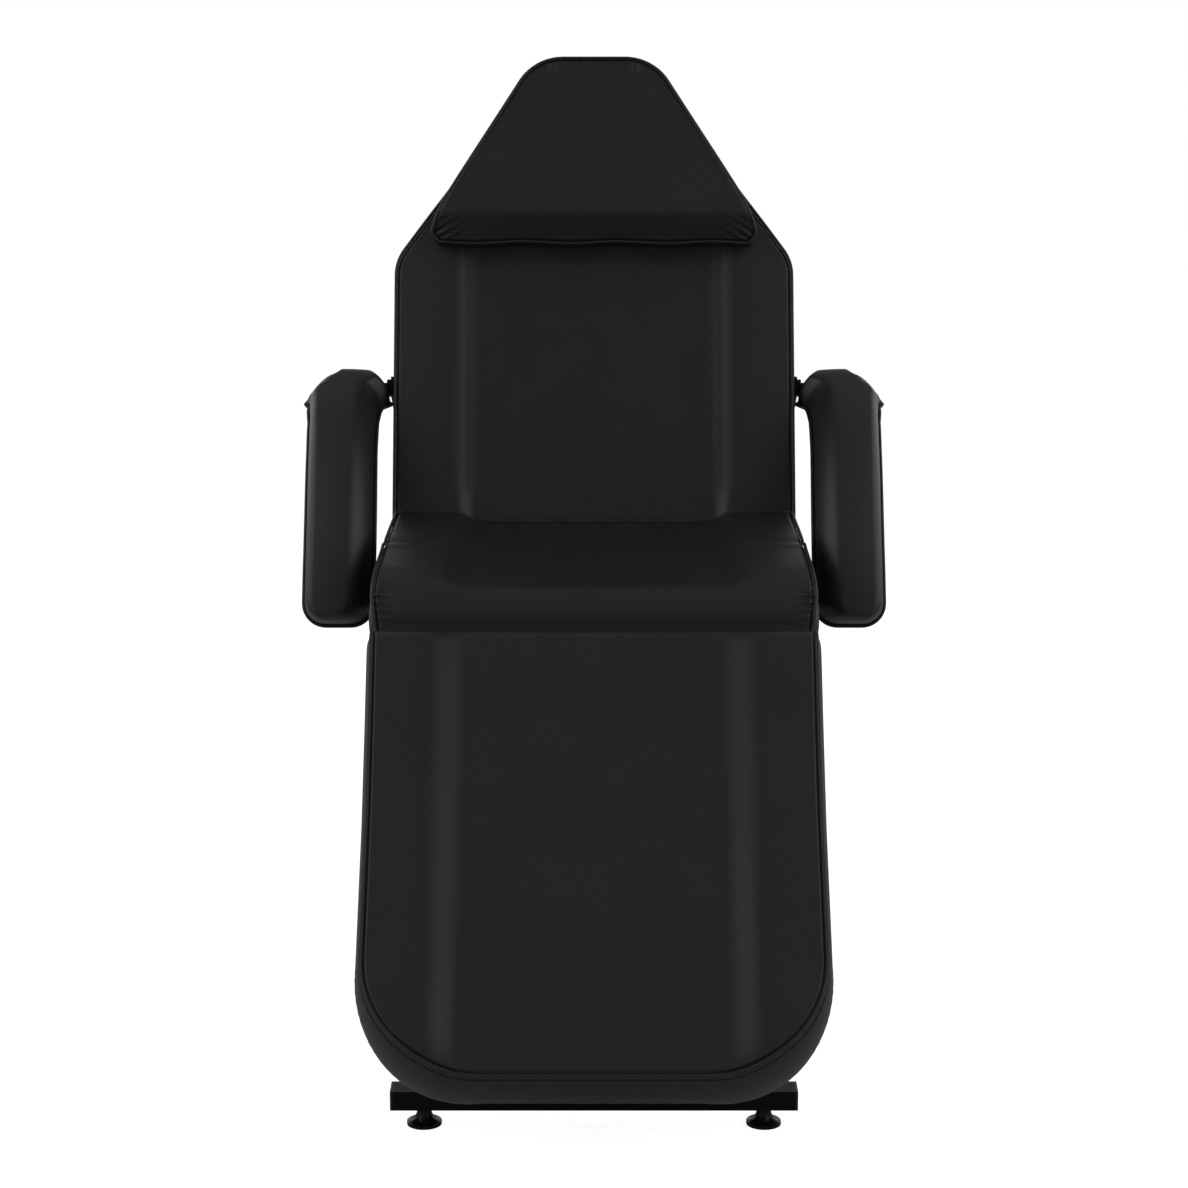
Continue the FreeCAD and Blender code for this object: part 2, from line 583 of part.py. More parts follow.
    node(pair(bolt("hinge_round", "head_round", "head_high", "section_in - lug_gap", lug_out, rear_y,
                   "back_hinge_z")), "back_hinge_bolts")
    inner = "section_x + rail_side / 2 - lug_thick - lug_gap"
    node(pair(bolt("hinge_round", "head_round", "head_high", inner, lug_out, *leg_hinge)), "leg_hinge_bolts")
    pins = [ear_pin("back_anchor_y", "back_anchor_z"), ear_pin("leg_anchor_y", "leg_anchor_z")]
    node(group(*pins), "strut_anchor_pins")


def ear_pin(y, z):
    """Pin with two heads through a pair of ears."""
    outside = "ear_x + ear_thick"
    return bolt("pivot_round", "2 * pivot_round - pin_gap", "ear_thick", f"-({outside})", outside, y, z)


def board_screws(x, spots, top, side):
    """Screws from below, through a pair of tubes into the board above, and their holes in one tube."""
    screws = []
    holes = []
    for y in spots:
        low = f"{top} - {side}"
        shank = standing("screw_round", x, y, low, f"{side} + screw_bite")
        head = standing("screw_head", x, y, f"{low} - screw_head_high", "screw_head_high")
        screws.append(joined(shank, head))
        holes.append(standing("screw_round", x, y, f"{low} - overrun", f"{side} + 2 * overrun"))
    return group(*screws, *[mirrored(s) for s in screws]), holes


def anchor(label, y, web_outline, pin_y, pin_z):
    """Cross tube with two ears that hold a strut's lower pin."""
    low = ("-rail_in", f"{y} - tube_side / 2", "side_rail_z - tube_side / 2")
    bar = tube(0, low, ("2 * rail_in", "tube_side", "tube_side"))
    ears = []
    for start in ("ear_x", "-ear_x - ear_thick"):
        web = plate("Ear", web_outline, start, "ear_thick")
        ears += [web, rod("ear_round", start, f"{start} + ear_thick", pin_y, pin_z)]
    hole = rod("pivot_round", "-ear_x - ear_thick - overrun", "ear_x + ear_thick + overrun", pin_y, pin_z)
    node(cut(joined(bar, *ears), hole), label)


# Section frames, drawn flat about their hinge

def hanging_ears(label, y, top, drop, frame):
    """Cross tube between the section's rails with two ears for the strut's upper pin."""
    low = ("-section_in", f"{y} - rail_side / 2", f"{top} - rail_side")
    bar = tube(0, low, ("2 * section_in", "rail_side", "rail_side"))
    ears = []
    foot = f"{top} - rail_side + wall"
    pin_z = f"-({drop})"
    outline = [(f"{y} - ear_round", foot), (f"{y} + ear_round", foot), (f"{y} + ear_round", pin_z),
               (f"{y} - ear_round", pin_z)]
    for start in ("ear_x", "-ear_x - ear_thick"):
        web = plate("Ear", outline, start, "ear_thick")
        ears += [web, rod("ear_round", start, f"{start} + ear_thick", y, pin_z)]
    hole = rod("pivot_round", "-ear_x - ear_thick - overrun", "ear_x + ear_thick + overrun", y, pin_z)
    node(cut(joined(bar, *ears), hole), label, frame)
    return ear_pin(y, pin_z)


def back_frame():
    low = ("section_in", "-back_rail_tail", "back_board - rail_side")
    rail = tube(1, low, ("rail_side", "back_rail_length + back_rail_tail", "rail_side"))
    hole = rod("hinge_round + pin_gap", "section_in - overrun", "section_in + rail_side + overrun", "0", "0")
    spots = ("back_pin_reach / 2", "back_rail_length - 3 * rail_side")
    screws, screw_holes = board_screws("section_x", spots, "back_board", "rail_side")
    node(pair(cut(rail, hole, *screw_holes)), "backrest_rails", BACK)
    node(screws, "backrest_screws", BACK)
    pin = hanging_ears("backrest_strut_tube", "back_pin_reach", "back_board", "back_pin_drop", BACK)
    node(pin, "backrest_strut_pin", BACK)
    top = ("-section_in", "back_rail_length - end_tube_inset - rail_side", "back_board - rail_side")
    node(tube(0, top, ("2 * section_in", "rail_side", "rail_side")), "backrest_top_tube", BACK)
    arm_low = ("-plate_in", "back_lead + arm_tube_reach - rail_side / 2", "back_board - 2 * rail_side")
    node(tube(0, arm_low, ("2 * plate_in", "rail_side", "rail_side")), "arm_cross_tube", BACK)
    along, rise = "arm_pivot_along", "arm_pivot_rise"
    back_edge = "back_board - 2 * rail_side"
    front_edge = f"{rise} + plate_front"
    outline = [(f"{along} - plate_half", back_edge), (f"{along} + plate_half", back_edge),
               (f"{along} + boss_round", front_edge), (f"{along} - boss_round", front_edge)]
    flat = plate("ArmPlate", outline, "plate_in", "plate_thick")
    soften(flat, "boss_round / 2", lambda edge: along_x(edge) and edge.Vertexes[0].Z > value(rise))
    boss = rod("boss_round", "plate_out", "plate_out + boss_length", along, rise)
    hole = rod("spigot_round + pin_gap", "plate_in - overrun", "arm_inner + overrun", along, rise)
    node(pair(cut(joined(flat, boss), hole)), "arm_plates", BACK)


def leg_frame():
    low = ("section_in", "-leg_rail_length", "leg_board - rail_side")
    rail = tube(1, low, ("rail_side", "leg_rail_length - leg_rail_start", "rail_side"))
    inner = "section_x + rail_side / 2 - lug_thick"
    lug_end = "-leg_rail_start - lug_length"
    lug = [(lug_end, "leg_board - wall"), ("-leg_rail_start", "leg_board - wall"), ("eye_round", "0"),
           ("0", "-eye_round"), (lug_end, "leg_board - rail_side + wall")]
    web = plate("LegLug", lug, inner, "lug_thick")
    eye = rod("eye_round", inner, f"{inner} + lug_thick", "0", "0")
    hole = rod("hinge_round + pin_gap", f"{inner} - overrun", f"{inner} + lug_thick + overrun", "0", "0")
    spots = ("-leg_pin_reach - 2 * rail_side", "-leg_rail_length + 3 * rail_side")
    screws, screw_holes = board_screws("section_x", spots, "leg_board", "rail_side")
    node(pair(cut(joined(rail, web, eye), hole, *screw_holes)), "legrest_rails", LEG)
    node(screws, "legrest_screws", LEG)
    pin = hanging_ears("legrest_strut_tube", "-leg_pin_reach", "leg_board", "leg_pin_drop", LEG)
    node(pin, "legrest_strut_pin", LEG)
    end = ("-section_in", "-leg_rail_length + end_tube_inset", "leg_board - rail_side")
    node(tube(0, end, ("2 * section_in", "rail_side", "rail_side")), "legrest_end_tube", LEG)


# Ratchet struts, drawn along Y from the lower pin towards the upper pin

def strut(name, longest, low_end, high_end):
    """A strut's housing, toothed bar, pawl and spring. longest is the span of its pins when drawn out."""
    channel, toothed = f"{name}_channel", f"{name}_toothed"
    stroke, teeth = f"{name}_stroke", f"{name}_teeth"
    pawl_y = f"{channel} - pawl_inset"
    pivot_y = f"{pawl_y} - pawl_arm"
    tall = "channel_floor + channel_high"
    outer = block(("-channel_width / 2", "-channel_tail", "-channel_floor"),
                  ("channel_width", f"{channel} + channel_tail", tall))
    trough_low = ("-channel_width / 2 + channel_sheet", "-channel_tail - overrun",
                  "-channel_floor + channel_sheet")
    trough_length = f"{channel} + channel_tail + 2 * overrun"
    trough = block(trough_low, ("channel_width - 2 * channel_sheet", trough_length, tall))
    strap_y = f"{pivot_y} - strap_inset / 2"
    strap = block(("-channel_width / 2", strap_y, "channel_high - channel_sheet"),
                  ("channel_width", "strap_length", "channel_sheet"))
    across = ("-channel_width / 2 - overrun", "channel_width / 2 + overrun")
    holes = [rod("pivot_round + pin_gap", *across, "0", "0"),
             rod("trunnion_round + pin_gap", *across, pivot_y, "pawl_lift")]
    node(cut(joined(cut(outer, trough), strap), *holes), f"{name}_strut_housing", low_end)

    solid = body("ToothedBar")
    edge = [(f"-({toothed})", "-toothed_half"), ("toothed_half", "-toothed_half"),
            ("toothed_half", "toothed_half"), (f"-({toothed})", "toothed_half")]
    pad(solid, draw(solid, "YZ_Plane", edge, [("0", "0", "pivot_round + pin_gap")]), "toothed_width", True)
    end_y = value("toothed_half - tip_gap")
    soften(solid, "toothed_half - tip_gap", lambda edge: along_x(edge) and edge.Vertexes[0].Y > end_y)
    first = f"-({longest} - ({pawl_y}))"
    mouth = "tooth_depth + overrun"
    notch = [(f"{first} - ({mouth})", "toothed_half + overrun"), (first, "toothed_half - tooth_depth"),
             (f"{first} + {mouth}", "toothed_half + overrun")]
    cutter = draw(solid, "YZ_Plane", notch)
    first_notch = pocket(solid, cutter, "toothed_width + 2 * overrun")
    row = solid.newObject("PartDesign::LinearPattern", "Teeth")
    row.Originals = [first_notch]
    row.Direction = (cutter, ["H_Axis"])
    bind(row, Length=stroke, Occurrences=f"{teeth} + 1")
    solid.Tip = row
    doc.recompute()
    node(solid, f"{name}_strut_toothed_bar", high_end)

    pawl = body("Pawl")
    tip = "toothed_half + tip_gap"
    under, over = "pawl_lift - pawl_half", "pawl_lift + pawl_half"
    side = [(f"{pivot_y} - pawl_half", under), (f"{pawl_y} - pawl_half", under),
            (f"{pawl_y} - nose_half", tip), (f"{pawl_y} + nose_half", tip),
            (f"{pawl_y} + pawl_half", "pawl_lift"), (f"{pawl_y} - pawl_half", over),
            (f"{pivot_y} - pawl_half", over)]
    pad(pawl, draw(pawl, "YZ_Plane", side), "pawl_width", True)
    trunnion = rod("trunnion_round", "-channel_width / 2", "channel_width / 2", pivot_y, "pawl_lift")
    node(joined(pawl, trunnion), f"{name}_strut_pawl", low_end)
    leaf = block(("-leaf_width / 2", strap_y, "channel_high - channel_sheet - leaf_thick"),
                 ("leaf_width", "leaf_length", "leaf_thick"))
    node(group(leaf), f"{name}_strut_spring", low_end)


# Armrests, turned about the centre of their arch

def arched(name, corners, angle):
    solid = body(name)
    turned(solid, draw(solid, "XZ_Plane", corners), "H_Axis", angle)
    return solid


def arm_section(x_in, x_out, low, high):
    return [(x_in, low), (x_out, low), (x_out, high), (x_in, high)]


def armrests():
    out = "arm_inner + arm_width"
    rear = {"y": "arm_axis_y", "z": "arm_axis_z", "angle": "arm_rear_angle"}
    edge = "arm_radius + arm_edge"
    section = [("arm_inner", "arm_radius"), (out, "arm_radius"), (out, edge, "-(arm_crown - arm_edge)"),
               ("arm_inner", edge)]
    foam = arched("ArmFoam", section, "arm_sweep")
    inner, outer, near = value("arm_inner"), value(out), value("match")
    middle_y, short = value("-arm_radius / 2"), value("arm_edge + match")

    def front_corner(edge):
        points = [v.Point for v in edge.Vertexes]
        at_side = all(min(abs(p.x - inner), abs(p.x - outer)) < near for p in points)
        return len(points) == 2 and at_side and edge.Length < short and points[0].y < middle_y

    soften(foam, "arm_corner", front_corner)
    core_x = ("arm_inner + core_inset", f"{out} - core_inset")
    core = arched("ArmCore", arm_section(*core_x, "arm_radius", "arm_radius + core_thick"),
                  "arm_sweep - 2 * core_end_angle")
    hollow = arched("ArmHollow", arm_section(*core_x, "arm_radius - overrun", "arm_radius + core_thick"),
                    "arm_sweep - 2 * core_end_angle")
    core_frame = {"y": "arm_axis_y", "z": "arm_axis_z", "angle": "arm_rear_angle + core_end_angle"}
    place(foam, **rear)
    place(core, **core_frame)
    place(hollow, **core_frame)
    spot = ("arm_pivot_y", "arm_pivot_z")
    spigot_end = "arm_inner + core_inset + spigot_bite"
    spigot = rod("spigot_round", "plate_in", spigot_end, *spot)
    spigot_hole = rod("spigot_round", "plate_in", spigot_end, *spot)
    pad_right = cut(foam, hollow, spigot_hole)
    core_right = cut(core, spigot_hole)
    for label, thing in (("pad", pad_right), ("core", core_right), ("spigot", spigot)):
        node(thing, f"armrest_{label}_right")
        node(mirrored(thing), f"armrest_{label}_left")


seat_section()
back_section()
leg_section()
base_frame()
back_frame()
leg_frame()
for name, longest in (("back", "back_strut"), ("leg", "leg_strut + leg_stroke")):
    ends = [{"y": f"{name}_{end}_y", "z": f"{name}_{end}_z", "angle": f"{name}_strut_angle"}
            for end in ("anchor", "pin")]
    strut(name, longest, *ends)
armrests()
doc.recompute()

# Check and export
for thing in doc.Objects:
    if "Invalid" in thing.State or "Error" in thing.State:
        raise RuntimeError(f"{thing.Name} {thing.Label} {thing.State}")
os.makedirs("parts", exist_ok=True)
for thing in nodes:
    if thing.Shape.isNull() or not thing.Shape.isValid():
        raise RuntimeError(f"{thing.Label} has no valid shape")
    thing.Shape.exportStep(f"parts/{thing.Label}.step")
print(len(nodes), "sub-parts")
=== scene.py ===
import bpy
import json
import math
import numpy as np
from mathutils import Matrix, Vector


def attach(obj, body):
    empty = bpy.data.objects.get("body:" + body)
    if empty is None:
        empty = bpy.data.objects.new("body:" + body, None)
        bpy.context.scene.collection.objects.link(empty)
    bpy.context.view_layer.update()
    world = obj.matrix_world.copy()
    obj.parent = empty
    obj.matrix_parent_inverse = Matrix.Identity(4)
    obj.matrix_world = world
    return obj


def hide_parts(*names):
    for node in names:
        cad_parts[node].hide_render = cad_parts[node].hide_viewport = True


# Black upholstered beauty bed in its chair pose. The cushions are drawn here, in millimetres, each in
# the frame of its section, and ride on the bodies of the frame. A span holds the low and the high end
# of a change, and a spot holds the middle and the width of a bump.

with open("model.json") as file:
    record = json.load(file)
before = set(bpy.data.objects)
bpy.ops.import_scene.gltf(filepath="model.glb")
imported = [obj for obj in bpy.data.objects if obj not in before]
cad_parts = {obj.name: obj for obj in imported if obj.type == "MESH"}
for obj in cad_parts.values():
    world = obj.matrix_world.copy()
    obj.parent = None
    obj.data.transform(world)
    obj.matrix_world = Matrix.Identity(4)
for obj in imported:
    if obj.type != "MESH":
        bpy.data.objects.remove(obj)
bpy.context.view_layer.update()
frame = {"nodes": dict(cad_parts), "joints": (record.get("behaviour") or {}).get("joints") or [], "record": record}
MM = 0.001
TINY = 1e-9

# Upholstery that the cushions share
PAD_THICK = 85.0
BOLSTER_RISE = 11.0
WELT_RADIUS = 2.4
WELT_OUT = WELT_RADIUS
WELT_UP = 2.2
WELT_BASE_UP = 0.6
WELT_INSET = 7.0
WELT_PITCH = 4.0
GROOVE_SPAN = (2.0, 4.0)
GROOVE_DEEP = 3.0
HEM_OUT = 2.4
HEM_DROP = 0.8
HEM_TURN = 16.0
BASE_DROP = 1.0
STITCH_PITCH = 6.0
STITCH_LENGTH = 4.0
STITCH_THICK = 0.7
STITCH_OUT = 0.3

# Meshes
PANEL_COLUMNS = 141
PANEL_PITCH = 7.0
ROLL_ROWS = 30
ROW_GAP = 0.35
ROW_DECIMALS = 3
CORNER_STEPS = 22
SQUEEZE_SHARE = 0.36
BOXING_ROWS = 14
BOXING_LOW_SHARE = 0.5
SWELL_SHARE = 0.85
SWELL_POWER = 0.8
FAR_SHARES = (0.6, 0.95)
WELT_SIDES = 10
STITCH_SIDES = 5
SLANTING_UP = (0.3, 0.2, 1.0)

# Angles of the sections in the chair pose, in degrees
BACK_ANGLE = 70.0
LEG_ANGLE = 48.0

hinges = {joint["name"]: Vector(joint["pos_m"]) for joint in frame["joints"] if "pos_m" in joint}


def section_frame(hinge, angle):
    """Matrix from a section's own flat frame, about its hinge, to the row frame."""
    return Matrix.Translation(hinges[hinge]) @ Matrix.Rotation(math.radians(angle), 4, "X")


BACK = section_frame("back_recline", BACK_ANGLE)
LEG = section_frame("leg_raise", LEG_ANGLE)
ROW = Matrix.Identity(4)


# Small formulas

def smooth(low, high, x):
    """Rises from 0 at low to 1 at high, level at both ends."""
    t = np.clip((x - low) / (high - low), 0.0, 1.0)
    return t * t * (3.0 - 2.0 * t)


def bump(x, middle, width):
    """Bell that is 1 in the middle and falls off over the width."""
    return np.exp(-((x - middle) / width) ** 2)


def rolled(distance, width, power=2.0):
    """Rises from 0 at an edge to 1 at the given distance, as a rounded shoulder."""
    t = 1.0 - np.clip(distance / width, 0.0, 1.0)
    return (1.0 - t ** power) ** (1.0 / power)


def ramp(low, high, x, soft):
    """Straight slope from 0 at low to 1 at high, with both its ends rounded off."""
    return 0.5 + (np.hypot(x - low, soft) - np.hypot(x - high, soft)) / (2.0 * (high - low))


def normalised(vectors):
    """Vectors of length 1 in the same directions."""
    return vectors / np.maximum(np.linalg.norm(vectors, axis=-1, keepdims=True), TINY)


# Flat patterns

def half_outline(corners):
    """Right half of an outline with rounded corners. Corners are (x, s, radius)."""
    points = []
    for i, (x, s, radius) in enumerate(corners):
        here = np.array((x, s))
        if radius == 0.0 or i in (0, len(corners) - 1):
            points.append(here)
            continue
        before = normalised(np.array(corners[i - 1][:2]) - here)
        after = normalised(np.array(corners[i + 1][:2]) - here)
        bend = math.acos(np.clip(before @ after, -1.0, 1.0))
        reach = radius / math.tan(bend / 2.0)
        centre = here + normalised(before + after) * radius / math.sin(bend / 2.0)
        start = here + before * reach - centre
        end = here + after * reach - centre
        turn = math.acos(np.clip(start @ end / radius ** 2, -1.0, 1.0))
        for t in np.linspace(0.0, 1.0, CORNER_STEPS):
            mix = math.sin((1.0 - t) * turn) * start + math.sin(t * turn) * end
            points.append(centre + mix / math.sin(turn))
    return np.array(points)


def eased(count):
    """Stations from -1 to 1 that lie closer together near both ends."""
    t = np.linspace(-1.0, 1.0, count)
    return t * (1.0 + SQUEEZE_SHARE) - SQUEEZE_SHARE * t ** 3


def stations(outline, pitch, extra=()):
    """Row stations along s: an even spread, the rounded corners' own points and any extra ones."""
    low, high = outline[:, 1].min(), outline[:, 1].max()
    even = np.linspace(low, high, int((high - low) / pitch) + 2)
    rows = np.concatenate([even, outline[:, 1], np.asarray(extra, float)])
    rows = np.unique(np.round(rows, ROW_DECIMALS))
    keep = [rows[0]]
    for s in rows[1:]:
        if s - keep[-1] > ROW_GAP or s == rows[-1]:
            keep.append(s)
    return np.array(keep)


def flat_grid(outline, rows, columns):
    """Grid of (x, s) points over a whole pattern, and the half width of each row."""
    half = np.interp(rows, outline[:, 1], outline[:, 0])[:, None]
    s = np.repeat(rows[:, None], columns, axis=1)
    return np.stack([half * eased(columns), s], axis=-1), half


def rim(block, closed):
    """Points round a grid: up one side, along the last row, down the other and, if closed, back."""
    sides = [block[:, 0], block[-1, 1:-1], block[::-1, -1]]
    if closed:
        sides.append(block[0, -2:0:-1])
    return np.concatenate(sides)


def edge_distance(pattern, line):
    """Distance in the flat pattern from each grid point to a line of points."""
    gaps = np.full(pattern.shape[:2], np.inf)
    for start, end in zip(line[:-1], line[1:]):
        run = end - start
        share = np.clip((pattern - start) @ run / max(run @ run, TINY), 0.0, 1.0)
        gaps = np.minimum(gaps, np.linalg.norm(pattern - start - share[..., None] * run, axis=-1))
    return gaps


# Mesh building

class Builder:
    """Collects blocks of vertices and quads, and makes one smooth mesh of them."""

    def __init__(self):
        self.points = []
        self.faces = []
        self.count = 0

    def grid(self, block, closed=False, flip=False):
        rows, columns = block.shape[:2]
        index = np.arange(rows * columns).reshape(rows, columns) + self.count
        across = np.roll(index, -1, axis=1) if closed else index[:, 1:]
        start = index if closed else index[:, :-1]
        quads = np.stack([start[:-1], across[:-1], across[1:], start[1:]], axis=-1).reshape(-1, 4)
        self.faces += (quads[:, ::-1] if flip else quads).tolist()
        self.points.append(block.reshape(-1, 3))
        self.count += rows * columns

    def piece(self, name, matrix, material):
        mesh = bpy.data.meshes.new(name)
        mesh.from_pydata((np.concatenate(self.points) * MM).tolist(), [], self.faces)
        mesh.transform(matrix)
        mesh.polygons.foreach_set("use_smooth", [True] * len(mesh.polygons))
        mesh.update()
        thing = bpy.data.objects.new(name, mesh)
        bpy.context.scene.collection.objects.link(thing)
        mesh.materials.append(material)
        return thing


def tube_block(line, radius, closed, sides):
    """Rings of a round cord along a line of points."""
    if closed:
        ahead = np.roll(line, -1, axis=0) - np.roll(line, 1, axis=0)
    else:
        ahead = np.gradient(line, axis=0)
    ahead = normalised(ahead)
    side = np.zeros_like(line)
    current = np.cross(ahead[0], SLANTING_UP)
    for i, direction in enumerate(ahead):
        current = normalised(current - direction * (current @ direction))
        side[i] = current
    up = np.cross(ahead, side)
    turn = np.linspace(0.0, 2.0 * math.pi, sides, endpoint=False)
    rings = side[:, None, :] * np.cos(turn)[None, :, None] + up[:, None, :] * np.sin(turn)[None, :, None]
    rings = line[:, None, :] + rings * radius
    if closed:
        rings = np.concatenate([rings, rings[:1]], axis=0)
    return rings


def resampled(line, pitch):
    """The same line with its points at an even pitch."""
    steps = np.linalg.norm(np.diff(line, axis=0), axis=1)
    at = np.concatenate([[0.0], np.cumsum(steps)])
    fine = np.linspace(0.0, at[-1], max(2, int(at[-1] / pitch) + 1))
    return np.stack([np.interp(fine, at, line[:, k]) for k in range(3)], axis=1)


def welt(name, line, closed, matrix, body):
    """Piping: a leather-covered cord along a seam."""
    if closed:
        line = resampled(np.concatenate([line, line[:1]]), WELT_PITCH)[:-1]
    else:
        line = resampled(line, WELT_PITCH)
    build = Builder()
    build.grid(tube_block(line, WELT_RADIUS, closed, WELT_SIDES), closed=True)
    thing = build.piece(name, matrix, piping)
    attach(thing, body)


def stitches(name, line, matrix, body):
    """Row of short thread stitches along a seam."""
    build = Builder()
    dashes = resampled(line, STITCH_PITCH)
    halves = normalised(np.gradient(dashes, axis=0)) * STITCH_LENGTH / 2.0
    for spot, half in zip(dashes, halves):
        dash = np.stack([spot - half, spot, spot + half])
        build.grid(tube_block(dash, STITCH_THICK, False, STITCH_SIDES), closed=True)
    thing = build.piece(name, matrix, thread)
    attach(thing, body)


# Cushions whose panel wraps over one end and meets its boxing at a piped seam

def turn_length(roll):
    """Length of the panel's pattern up the end of a cushion and round its roll."""
    return PAD_THICK - roll + roll * math.pi / 2.0


def wrap_path(s, face, roll):
    """Where the middle line of a wrapped panel runs: up the end, round the roll and along the face."""
    rise = PAD_THICK - roll
    turn = np.clip((s - rise) / roll, 0.0, math.pi / 2.0)
    flat = np.maximum(s - turn_length(roll), 0.0)
    along = roll * (1.0 - np.cos(turn)) + flat
    height = face - PAD_THICK + np.minimum(s, rise) + roll * np.sin(turn)
    return along, height, -np.cos(turn), np.sin(turn)


def no_spread(flat, side, end):
    """Hem that keeps to the panel's outline all round."""
    return np.zeros_like(flat)


def boxing_rings(edge, base, out, bulge, low, hollow):
    """Rings of the boxing from the panel's edge down to its hem. hollow is 1 where it curves inward."""
    rings = []
    for t in np.linspace(0.0, 1.0, BOXING_ROWS):
        swell = bulge * math.sin(math.pi * t ** SWELL_SHARE) ** SWELL_POWER
        rings.append(edge + (base - edge) * t + out * (swell * (1.0 - 2.0 * hollow) * low)[:, None])
    return rings


def wrapped_cushion(name, body, matrix, node, face, roll, corners, lift, to_local, bulge, spread=no_spread,
                    undercut=0.0):
    """Builds panel, boxing, piping and stitches. Corners give the panel's half outline in the flat pattern,
    lift its height over a plain slab, and spread how far the hem lies outside it."""
    under = face - PAD_THICK
    turn_end = turn_length(roll)
    outline = half_outline(corners)
    rows = stations(outline, PANEL_PITCH, np.linspace(0.0, turn_end, ROLL_ROWS))
    pattern, _ = flat_grid(outline, rows, PANEL_COLUMNS)
    x, s = pattern[..., 0], pattern[..., 1]
    loop = rim(pattern, False)
    distance = edge_distance(pattern, loop)
    along, height, tilt_along, tilt_up = wrap_path(s, face, roll)
    raised = lift(x, s - turn_end, distance) - GROOVE_DEEP * (1.0 - smooth(*GROOVE_SPAN, distance))
    panel = np.stack([x, along + tilt_along * raised, height + tilt_up * raised], axis=-1)
    build = Builder()
    build.grid(to_local(panel))

    edge = rim(panel, False)
    ahead = normalised(np.gradient(loop, axis=0))
    out_x, out_s = -ahead[:, 1], ahead[:, 0]
    _, _, edge_along, edge_up = wrap_path(loop[:, 1], face, roll)
    out = np.stack([out_x, out_s * edge_up, np.zeros(len(loop))], axis=1)
    base = edge + out * (HEM_OUT + spread(loop[:, 1] - turn_end, np.abs(out_x), out_s))[:, None]
    base[:, 2] = under
    hollow = 0.0
    if undercut:
        base[:, 1] = np.minimum(base[:, 1], panel[..., 1].max() - undercut)
        hollow = smooth(*FAR_SHARES, out[:, 1])
    low = np.minimum(1.0, (edge[:, 2] - under) / (BOXING_LOW_SHARE * PAD_THICK))
    rings = boxing_rings(edge, base, out, bulge, low, hollow)
    build.grid(to_local(np.stack(rings)))

    hem = np.concatenate([rings[-1], panel[0, -2:0:-1]])
    hem_low = hem.copy()
    hem_in = hem + normalised(hem.mean(axis=0) - hem) * HEM_TURN
    hem_low[:, 2] = under - HEM_DROP
    hem_in[:, 2] = under - HEM_DROP
    build.grid(to_local(np.stack([hem, hem_low, hem_in])), closed=True)
    thing = build.piece(name, matrix, leather)
    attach(thing, body)
    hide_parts(node)

    seam = edge + out * WELT_OUT
    seam[:, 1] += edge_along * WELT_UP
    seam[:, 2] += edge_up * WELT_UP
    welt(name + "_piping", to_local(seam), False, matrix, body)
    stitches(name + "_stitches", to_local(rings[1] + out * STITCH_OUT), matrix, body)


# Seat. Spans run back from the front edge. Those of the hem and gathers start where the top turns flat,
# and those of the slope and fold run out from the middle
SEAT_FRONT = -138.4
SEAT_HEIGHT = 629.0
SEAT_LENGTH = 436.0
SEAT_HALF = 299.0
SEAT_REAR_HALF = 293.0
SEAT_NOSE_HALF = 291.0
SEAT_NOSE_ROUND = 60.0
SEAT_REAR_ROUND = 8.0
SEAT_ROLL = 58.0
SEAT_BULGE = 6.0
SEAT_UNDERCUT = 44.0
SEAT_SINK = 1.0
SEAT_REAR_RISE = 6.5
SEAT_RISE_SPAN = (80.0, 430.0)
SEAT_NOSE_DROP = 10.0
SEAT_NOSE_SPAN = (-60.0, 240.0)
SEAT_HEM_SHARE = 0.38
SEAT_HEM_SPAN = (-108.0, -80.0)
SEAT_BOLSTER_RISE = 13.0
SEAT_BOLSTER_SPAN = (0.0, 110.0)
SEAT_SLOPE_SPAN = (174.0, 197.0)
SEAT_SLOPE_SOFT = 6.0
SEAT_FOLD_RISE = 2.4
SEAT_FOLD_SPAN = (196.0, 232.0)
SEAT_RIDGE_SPOT = (214.0, 11.0)
SEAT_CREASE_SPOT = (240.0, 17.0)
SEAT_GATHER_RISE = 6.5
SEAT_GATHER_SPOT = (-30.0, 30.0)
SEAT_GATHER_REACH = 34.0
SEAT_GATHER_EDGE = 5.0
SEAT_GATHER_RATE = 0.52
SEAT_GATHER_SLANT = 0.12


